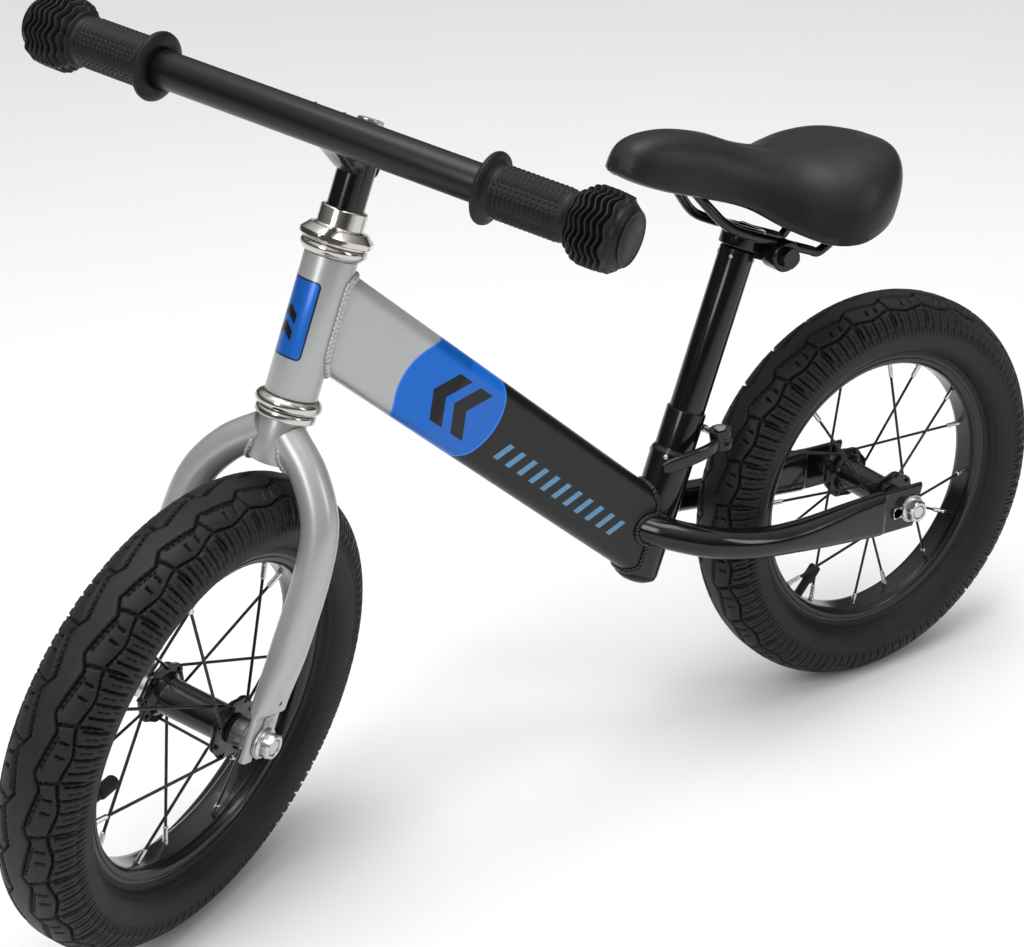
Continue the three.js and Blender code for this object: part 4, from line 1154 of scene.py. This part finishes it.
def main_tube():
    half_height, half_width = MAIN_TUBE.height / 2, MAIN_TUBE.width / 2
    corner, wall = MAIN_TUBE.corner, 1.8
    reach = hypot(MAIN_TUBE.front[0] - MAIN_TUBE.rear[0], MAIN_TUBE.front[1] - MAIN_TUBE.rear[1]) + 40
    stations = [-40 + (reach + 40) * i / 40 for i in range(41)]
    outer = lofted([rounded_ring(x, half_height, half_width, corner) for x in stations])
    inner = lofted([rounded_ring(x, half_height - wall, half_width - wall, corner - wall)
            for x in (-60, reach + 20)])
    piece = make("main_tube_form", outer, TUBE_FRAME, TUBE_PAINT, "frame", "main_tube")
    to_tube = TUBE_FRAME.inverted()
    head_round = disc_z(HEAD.tube + 0.1, 150, 340, 64, 0.01).moved(to_tube @ HEAD_FRAME)
    head_beyond = block(0, 80, -40, 40, 150, 340).moved(to_tube @ HEAD_FRAME)
    seat_round = disc_z(SEAT.tube + 0.1, -200, 60, 64, 0.01).moved(to_tube @ SEAT_FRAME)
    seat_beyond = block(-80, 0, -40, 40, -200, 60).moved(to_tube @ SEAT_FRAME)
    carved(piece, TUBE_FRAME, inner, head_round, head_beyond, seat_round, seat_beyond, sharp=40)
    frame_welds()


def outline_on_tube(radius, frame_matrix, forward, offset=0.6):
    """Where the main tube's outline meets a round tube, in that tube's own frame."""
    to_round = frame_matrix.inverted() @ TUBE_FRAME
    along = (to_round.to_3x3() @ Vector((1, 0, 0))).normalized()
    out = []
    for point in rounded_ring(0, MAIN_TUBE.height / 2, MAIN_TUBE.width / 2, MAIN_TUBE.corner, 6):
        base = to_round @ point
        x = sqrt(max((radius + offset) ** 2 - base.y * base.y, 0)) * forward
        out.append(base + along * ((x - base.x) / along.x))
    return out


def frame_welds():
    for name, radius, place, forward, paint in (("head", HEAD.tube, HEAD_FRAME, -1, SILVER_PAINT),
            ("seat", SEAT.tube, SEAT_FRAME, 1, BLACK_PAINT)):
        bead = weld(outline_on_tube(radius, place, forward), 2.6, 3.0)
        make(name + "_weld", bead, place, paint, "frame", sharp=80)


def seat_tube():
    tube, bottom, start = SEAT.tube, SEAT.bottom, SEAT.sleeve_start
    low_bore = tube - 1.6
    bore = SEAT.post + 0.1
    shape = spun([(low_bore, bottom), (tube, bottom), (tube, start - 2.4), (SEAT.sleeve, start + 0.6),
            (SEAT.sleeve, 1.5), (bore, 1.5), (bore, start - 6), (low_bore, start - 8)], 80, 0.7, 3)
    piece = make("seat_tube_form", shape, SEAT_FRAME, BLACK_PAINT, "frame", "seat_tube", 40)
    carved(piece, SEAT_FRAME, block(-20, 0, -1.2, 1.2, start + 4, 5), sharp=40)
    crimps("sleeve_crimps", "frame", tube, start - 5)
    plug = spun([(0, SEAT.plug), (tube - 6, SEAT.plug), (tube - 1, SEAT.plug + 3),
            (tube - 0.5, bottom - GAP), (tube - 1.8, bottom - GAP), (tube - 1.8, bottom + 5),
            (0, bottom + 5)], 64, 0.8, 3)
    make("plug_form", plug, SEAT_FRAME, BLACK_PLASTIC, "frame", "seat_tube_plug", 50)


def crimps(name, body, radius, height, size=1.9):
    """Four small domed dots round the outside of a tube about Z."""
    dome = turned([(0, -0.6), (size, -0.6), (size * 0.92, 0.1), (size * 0.6, 0.4), (0, 0.55)], 20)
    dome = dome.turned(90, "Y").shifted(x=radius, z=height)
    dots = merged([dome.turned(angle) for angle in (-40, 35, 140, 215)])
    make(name, dots, SEAT_FRAME, ZINC, body, sharp=60)


def seat_clamp():
    x, y, z = LEVER.pivot
    sleeve, clamp = SEAT.sleeve + 0.1, SEAT.clamp
    piece = make("seat_clamp_form", tube_z(sleeve, 15.9, -clamp, 0, 80, 0.7, 3), SEAT_FRAME, BLACK_PAINT,
            "frame", "seat_clamp")
    ears = block(x, -14.6, -9.5, 9.5, z - 7.5, z + 7.5)

    def on_skewer(radius, low, high, segments, soft):
        return disc_y(radius, low, high, segments, soft).shifted(x=x, z=z)

    gap = block(x - 20, -13, -1.5, 1.5, -clamp - 1, 1)
    carved(piece, SEAT_FRAME, gap, on_skewer(2.7, -20, 20, 24, 0.01),
            joined=[ears, on_skewer(7.5, -9.5, 9.5, 48, 0.01)])
    add_bevel(piece, 0.7, 3)
    half = LEVER.height / 2
    pin = disc_z(2.5, -half - GAP, half + 1, 32, 0.3) + disc_z(4.3, half + GAP, half + 2, 40, 0.6)
    rod = on_skewer(2.4, -15, y, 24, 0.3) + on_skewer(6.5, -15, -9.8, 40, 0.8)
    make("clamp_skewer_form", rod + pin.moved(SEAT_FRAME.inverted() @ LEVER_FRAME), SEAT_FRAME, ZINC,
            "frame", "clamp_skewer")


def clamp_lever(steps=30):
    """Made in its pivot's frame, with x towards the tip of the closed lever."""
    place = SEAT_FRAME @ Matrix.Translation(LEVER.pivot) @ Matrix.Rotation(radians(LEVER.slope), 4, "Y")
    half, cam = LEVER.height / 2, LEVER.cam
    path = spline([(3, 2, -1), (14, 6.5, -1), (32, 7, -1), (LEVER.length, 4.5, -1)])
    up = Vector((0, 0, 1))
    rings = []
    for i in range(steps + 1):
        share = i / steps
        across = tangent(path, share).cross(up).normalized()
        tip = 1 - 0.35 * smooth_step(share, 0.86, 1.0)
        tall = 5 * tip + 0.3 * smooth_step(share, 0.2, 0.6)
        rings.append(stadium(path(share), across, up, 2.3 * tip, tall))
    piece = make("lever_form", disc_z(cam, -half, half, 64, 0.01), place, BLACK_PAINT, "clamp_lever",
            "clamp_lever")
    gate = block(-cam - 1, 2.9, -cam - 1, cam + 1, -2.9, 2.9)
    carved(piece, place, gate, disc_z(2.8, -half - 1, half + 1, 32, 0.01), joined=[lofted(rings)])
    add_bevel(piece, 0.6, 3)


def stay_path(side):
    points = [(214, 4, 183), (198, 24, 179), (176, 38, 172.5), (146, 44.5, 165), (104, PLATE, 159),
            (50, PLATE, 155.5), (20, PLATE, 153.5), (-14, PLATE, 152)]
    return [(x, side * y, z) for x, y, z in points]


def outside_seat_tube(point, offset=0.4):
    """A point in the main tube's frame, pushed out of the seat tube where it lies inside it."""
    to_seat = SEAT_FRAME.inverted() @ TUBE_FRAME
    x, y, z = to_seat @ point
    grow = max((SEAT.tube + offset) / hypot(x, y), 1)
    return to_seat.inverted() @ Vector((x * grow, y * grow, z))


def chain_stay(side, word):
    axle_z, y, reach = TYRE.radius, side * PLATE, DROPOUT.slot
    shape = pressed_tube(stay_path(side), (0, 0, 1), STAY.radius, STAY.plate, 0.42, 0.86, 0.835, 190)
    piece = make(word + "_stay_form", shape, GROUND, BLACK_PAINT, "frame", word + "_stay")
    slot = block(-40, 0, y - 10, y + 10, axle_z - reach, axle_z + reach)
    hole = disc_y(reach, -70, 70, 32, 0.01).shifted(z=axle_z)
    end = block(-60, -7, y - 10, y + 10, -60, 60).turned(-14, "Y").shifted(z=axle_z)
    to_ground = GROUND.inverted()
    extra = 0.1
    tube = lofted([rounded_ring(x, MAIN_TUBE.height / 2 + extra, MAIN_TUBE.width / 2 + extra,
            MAIN_TUBE.corner + extra) for x in (-40, 200)]).moved(to_ground @ TUBE_FRAME)
    seat = disc_z(SEAT.tube + 0.1, -200, 60, 64, 0.01).moved(to_ground @ SEAT_FRAME)
    carved(piece, GROUND, slot, hole, end, tube, seat, sharp=30)
    add_bevel(piece, 0.5, angle=55, harden=False)
    make(word + "_stay_weld", weld(stay_seam(side), 2.2), TUBE_FRAME, BLACK_PAINT, "frame", sharp=80)


def stay_seam(side):
    """Where a stay meets the main tube's side, in the main tube's frame."""
    to_tube = TUBE_FRAME.inverted() @ GROUND
    half_width = MAIN_TUBE.width / 2
    curve = spline([to_tube @ Vector(p) for p in stay_path(side)])
    share = next(i / 400 for i in range(400) if abs(curve(i / 400).y) > half_width)
    along = tangent(curve, share)
    across = along.cross(Vector((0, 0, 1))).normalized()
    up = across.cross(along).normalized()
    seam = []
    for c, s in circle(24):
        start = curve(share) + across * (STAY.radius * c) + up * (STAY.radius * s)
        seam.append(outside_seat_tube(start + along * ((side * (half_width + 0.4) - start.y) / along.y)))
    return seam


# ---- Seat post and saddle ----


def seat_post():
    post, neck, shoulder, top = SEAT.post, SEAT.neck, SEAT.shoulder, SEAT.top
    shape = spun([(10.9, -70), (post, -70), (post, shoulder), (neck, shoulder + 1), (neck, top), (9.4, top),
            (9.4, shoulder - 12), (10.9, shoulder - 13)], 80, 0.7, 3)
    make("seat_post_form", shape, SEAT_FRAME, BLACK_PAINT, "seat_post", "seat_post", 40)
    crimps("post_crimps", "seat_post", post, shoulder - 5, 1.6)


def saddle_clamp():
    x, z, neck = SADDLE.bolt_x, SADDLE.bolt_z, SEAT.neck
    low, high = SEAT.shoulder + 1.6, SEAT.top
    width = SADDLE.cup_inner - GAP
    collar = tube_z(neck + 0.1, neck + 3.6, low, high, 72, 0.8, 3)
    piece = make("saddle_clamp_form", collar, SEAT_FRAME, BLACK_PAINT, "seat_post", "saddle_clamp")
    barrel = disc_y(8.5, -width, width, 48, 0.01).shifted(x=x, z=z)
    web = block(x, -5, -width, width, z - 8, z + 7)
    bore = disc_z(neck + 0.1, 60, 160, 48, 0.01)
    shoulder = disc_z(SEAT.post + 0.1, 90, low, 48, 0.01)
    split = block(x - 20, -5, -1, 1, 90, 160)
    hole = disc_y(3.4, -30, 30, 24, 0.01).shifted(x=x, z=z)
    carved(piece, SEAT_FRAME, bore, shoulder, split, hole, joined=[barrel, web])
    add_bevel(piece, 0.7, 3)
    outer = SADDLE.cup_outer
    shaft = disc_y(3.2, -outer - 3, outer + 3, 24, 0.3)
    head = hexagon(13.2, outer + GAP, outer + 5) + disc_z(6.8, outer + 0.2, outer + 1.2, 32, 0.2)
    nut = hexagon(13.2, -outer - 5, -outer - GAP)
    make("saddle_bolt_form", (shaft + about_y(head) + about_y(nut)).shifted(x=x, z=z), SEAT_FRAME,
            BLACK_PAINT, "saddle_cups", "saddle_clamp_bolt", 28)


def saddle_cup(side, word, teeth=36):
    inner, outer = SADDLE.cup_inner, SADDLE.cup_outer

    def knurl(r, z, angle):
        return r - 0.35 * (0.5 + 0.5 * cos(teeth * angle)) if z < inner + 1.2 and r > 8 else r

    shape = about_y(spun([(3.4, inner), (11, inner), (11, outer - 1.5), (10, outer), (6, outer),
            (5.6, outer - 0.8), (3.4, outer - 0.8)], 108, 0.7, 3, knurl))
    piece = make(word + "_cup_form", shape if side > 0 else shape.mirrored(), SADDLE_FRAME, BLACK_PAINT,
            "saddle_cups", word + "_saddle_cup")
    groove = disc_y(SADDLE.rail + 0.1, -30, 30, 32, 0.01).turned(90)
    carved(piece, SADDLE_FRAME, groove.shifted(y=side * SADDLE.spread, z=SADDLE.rail_z), sharp=30)


def saddle_rails():
    spread, level = SADDLE.spread, SADDLE.rail_z
    half = [(-52, 32, 65), (-46, 28, 43), (-40, spread + 3, 21)]
    half += [(x, spread, level) for x in (-31, -25, 25, 31)]
    half += [(50, spread - 1, level + 2), (68, spread - 5, 18), (84, spread - 11, 28)]
    path = half + [(94, 0, 34)] + [(x, -y, z) for x, y, z in half[::-1]]
    make("saddle_rails_form", bar_along(path, SADDLE.rail, 200), SADDLE_FRAME, BLACK_PAINT, "saddle",
            "saddle_rails", 60)


# Half width, top and lower edge of the saddle at places along it, from the clamp bolt.
SADDLE_STATIONS = [(-69, 26, 90, 73), (-65, 41, 93.5, 60), (-54, 57, 95, 47), (-40, 65, 93, 35),
        (-22, 68, 86, 24), (-4, 62, 76.5, 18.5), (18, 45, 66.5, 20), (46, 31, 63, 26), (78, 24.5, 63, 25),
        (110, 22, 57.5, 23), (131, 17, 48, 24), (142, 8, 37, 27)]


def saddle_outline(samples=400):
    """Half width, top and lower edge, as a smooth function of the place along the saddle."""
    columns = [spline([(s[0], s[k], 0) for s in SADDLE_STATIONS]) for k in (1, 2, 3)]
    tables = [[curve(i / samples) for i in range(samples + 1)] for curve in columns]
    tables = [([p.x for p in table], [p.y for p in table]) for table in tables]
    return lambda x: [float(np.interp(x, xs, ys)) for xs, ys in tables]


def saddle_surface(inset=0.0, lowered=0.0, under=3.0, along=180, around=132, cover=True):
    """The cover: crowned on top and drawn in under its lower edge, with a hollow where one sits."""
    outline = saddle_outline()
    rear, nose = SADDLE_STATIONS[0][0], SADDLE_STATIONS[-1][0]
    middle, half = (rear + nose) / 2, (nose - rear) / 2
    rings = []
    for i in range(along + 1):
        t = 0.5 - 0.5 * cos(pi * i / along)
        station = rear + (nose - rear) * t
        x = middle + (station - middle) * (half - inset) / half
        width, top, low = outline(station)
        close = sqrt(max(1 - (1 - min(min(t, 1 - t) / 0.035, 1)) ** 2, 0.0))
        width = max(width - inset, 2) * (0.30 + 0.70 * close)
        crown = low + (top - lowered - low) * (0.62 + 0.38 * close)
        ring = []
        for c, s in circle(around):
            y = width * bulge(c, 0.78)
            z = low + (crown - low) * s ** 0.74 if s > 0 else low + under * s
            if s <= 0:
                y *= 1 + 0.10 * s
            elif cover:
                z -= dish(station, y / max(width, 1), width) * smooth_step(s, 0.2, 0.8)
            ring.append(Vector((x, y, z)))
        rings.append(ring)
    return lofted(rings)


def dish(x, across, width):
    """How far the cover sinks below its crown: a hollow where one sits, and a shallow groove before it."""
    seat = 5.5 * bell(x, -30, 34) * bell(across, 0, 0.5) * smooth_step(width, 35, 60)
    groove = 1.6 * bell(across, 0, 0.22) * bell(x, 30, 50)
    return seat + groove


def bell(x, centre, width):
    return float(np.exp(-((x - centre) / width) ** 2))


def saddle():
    cushion = make("saddle_cover_form", saddle_surface(), SADDLE_FRAME, SADDLE_COVER, "saddle",
            "saddle_cushion", 70)
    carved(cushion, SADDLE_FRAME, saddle_surface(5, 12, 60, 60, 48, False), sharp=70)
    base = make("saddle_base_form", saddle_surface(5.3, 12.3, 0.4, 80, 64, False), SADDLE_FRAME,
            BLACK_PLASTIC, "saddle", "saddle_base", 60)
    carved(base, SADDLE_FRAME, saddle_surface(3, 16.5, 80, 60, 48, False), sharp=60)


# ---- Camera, light and floor ----


def camera():
    data = bpy.data.cameras.new("camera")
    data.sensor_width = 36
    data.lens = CAMERA.lens
    data.shift_x, data.shift_y = CAMERA.shift
    data.clip_start = 0.01
    azimuth, elevation = radians(CAMERA.azimuth), radians(CAMERA.elevation)
    back = Vector((sin(azimuth) * cos(elevation), -cos(azimuth) * cos(elevation), sin(elevation)))
    turn = back.to_track_quat("Z", "Y") @ Quaternion((0, 0, 1), radians(CAMERA.roll))
    bpy.context.scene.camera = aimed("camera", data, CAMERA.place, turn)


def aimed(name, data, place, turn):
    thing = bpy.data.objects.new(name, data)
    thing.location = place
    thing.rotation_mode = "QUATERNION"
    thing.rotation_quaternion = turn
    link(thing)
    return thing


def softbox(name, place, size, power):
    data = bpy.data.lights.new(name, "AREA")
    data.shape = "RECTANGLE"
    data.size, data.size_y = size
    data.energy = power
    aimed(name, data, place, (Vector(place) - LIT_POINT).to_track_quat("Z", "Y"))


def soft_sky():
    """Bright overhead and dim at the horizon, as in a room with a lit ceiling, and pale to look at."""
    world = bpy.data.worlds.new("studio")
    world.use_nodes = True
    tree = world.node_tree
    background = tree.nodes["Background"]
    direction = tree.nodes.new("ShaderNodeSeparateXYZ")
    tree.links.new(tree.nodes.new("ShaderNodeTexCoord").outputs["Generated"], direction.inputs[0])
    height = Field(tree, direction.outputs["Z"])
    strength = height.math("MAXIMUM", 0.0).math("POWER", 2.2) * 1.5 + 0.04
    seen = Field(tree, tree.nodes.new("ShaderNodeLightPath").outputs["Is Camera Ray"])
    strength = strength.most(seen * 0.8)
    background.inputs["Color"].default_value = (1, 1, 1, 1)
    tree.links.new(strength.socket, background.inputs["Strength"])
    return world


def studio():
    floor_material = Look("floor", Roughness=0.9, Specular_IOR_Level=0.1)
    floor_material.colour(floor_material.mix(floor_material.noise(4, 2), (0.88, 0.88, 0.88), (0.9, 0.9, 0.9)))
    mesh = bpy.data.meshes.new("floor")
    reach = 30
    corners = ((-reach, -reach, 0), (reach, -reach, 0), (reach, reach, 0), (-reach, reach, 0))
    mesh.from_pydata(corners, [], [(0, 1, 2, 3)])
    mesh.materials.append(floor_material.done())
    floor = bpy.data.objects.new("floor", mesh)
    floor.location.z = -0.001
    link(floor)
    bpy.context.scene.world = soft_sky()
    softbox("overhead", (0.3, 0.1, 2.4), (1.4, 1.4), 24)
    softbox("key", (2.1, 0.9, 1.5), (0.6, 1.2), 15)
    softbox("side", (-1.3, 2.1, 1.4), (0.5, 1.2), 11)
    bpy.context.scene.view_settings.view_transform = "Standard"


# ---- Assembly ----

fork_steerer()
head_tube()
headset()
stem()
stem_fixings()
handlebar()
for side, word in ((1, "left"), (-1, "right")):
    fork_blade(side, word)
    hand_grip(side, word)
    chain_stay(side, word)
    saddle_cup(side, word)
main_tube()
seat_tube()
seat_clamp()
clamp_lever()
seat_post()
saddle_clamp()
saddle_rails()
saddle()
wheel("front", FRONT_AXLE)
wheel("rear", REAR_AXLE)
axle_and_nuts(FRONT_AXLE, "fork", "front", 90)
axle_and_nuts(REAR_AXLE, "frame", "rear", 0)
camera()
studio()
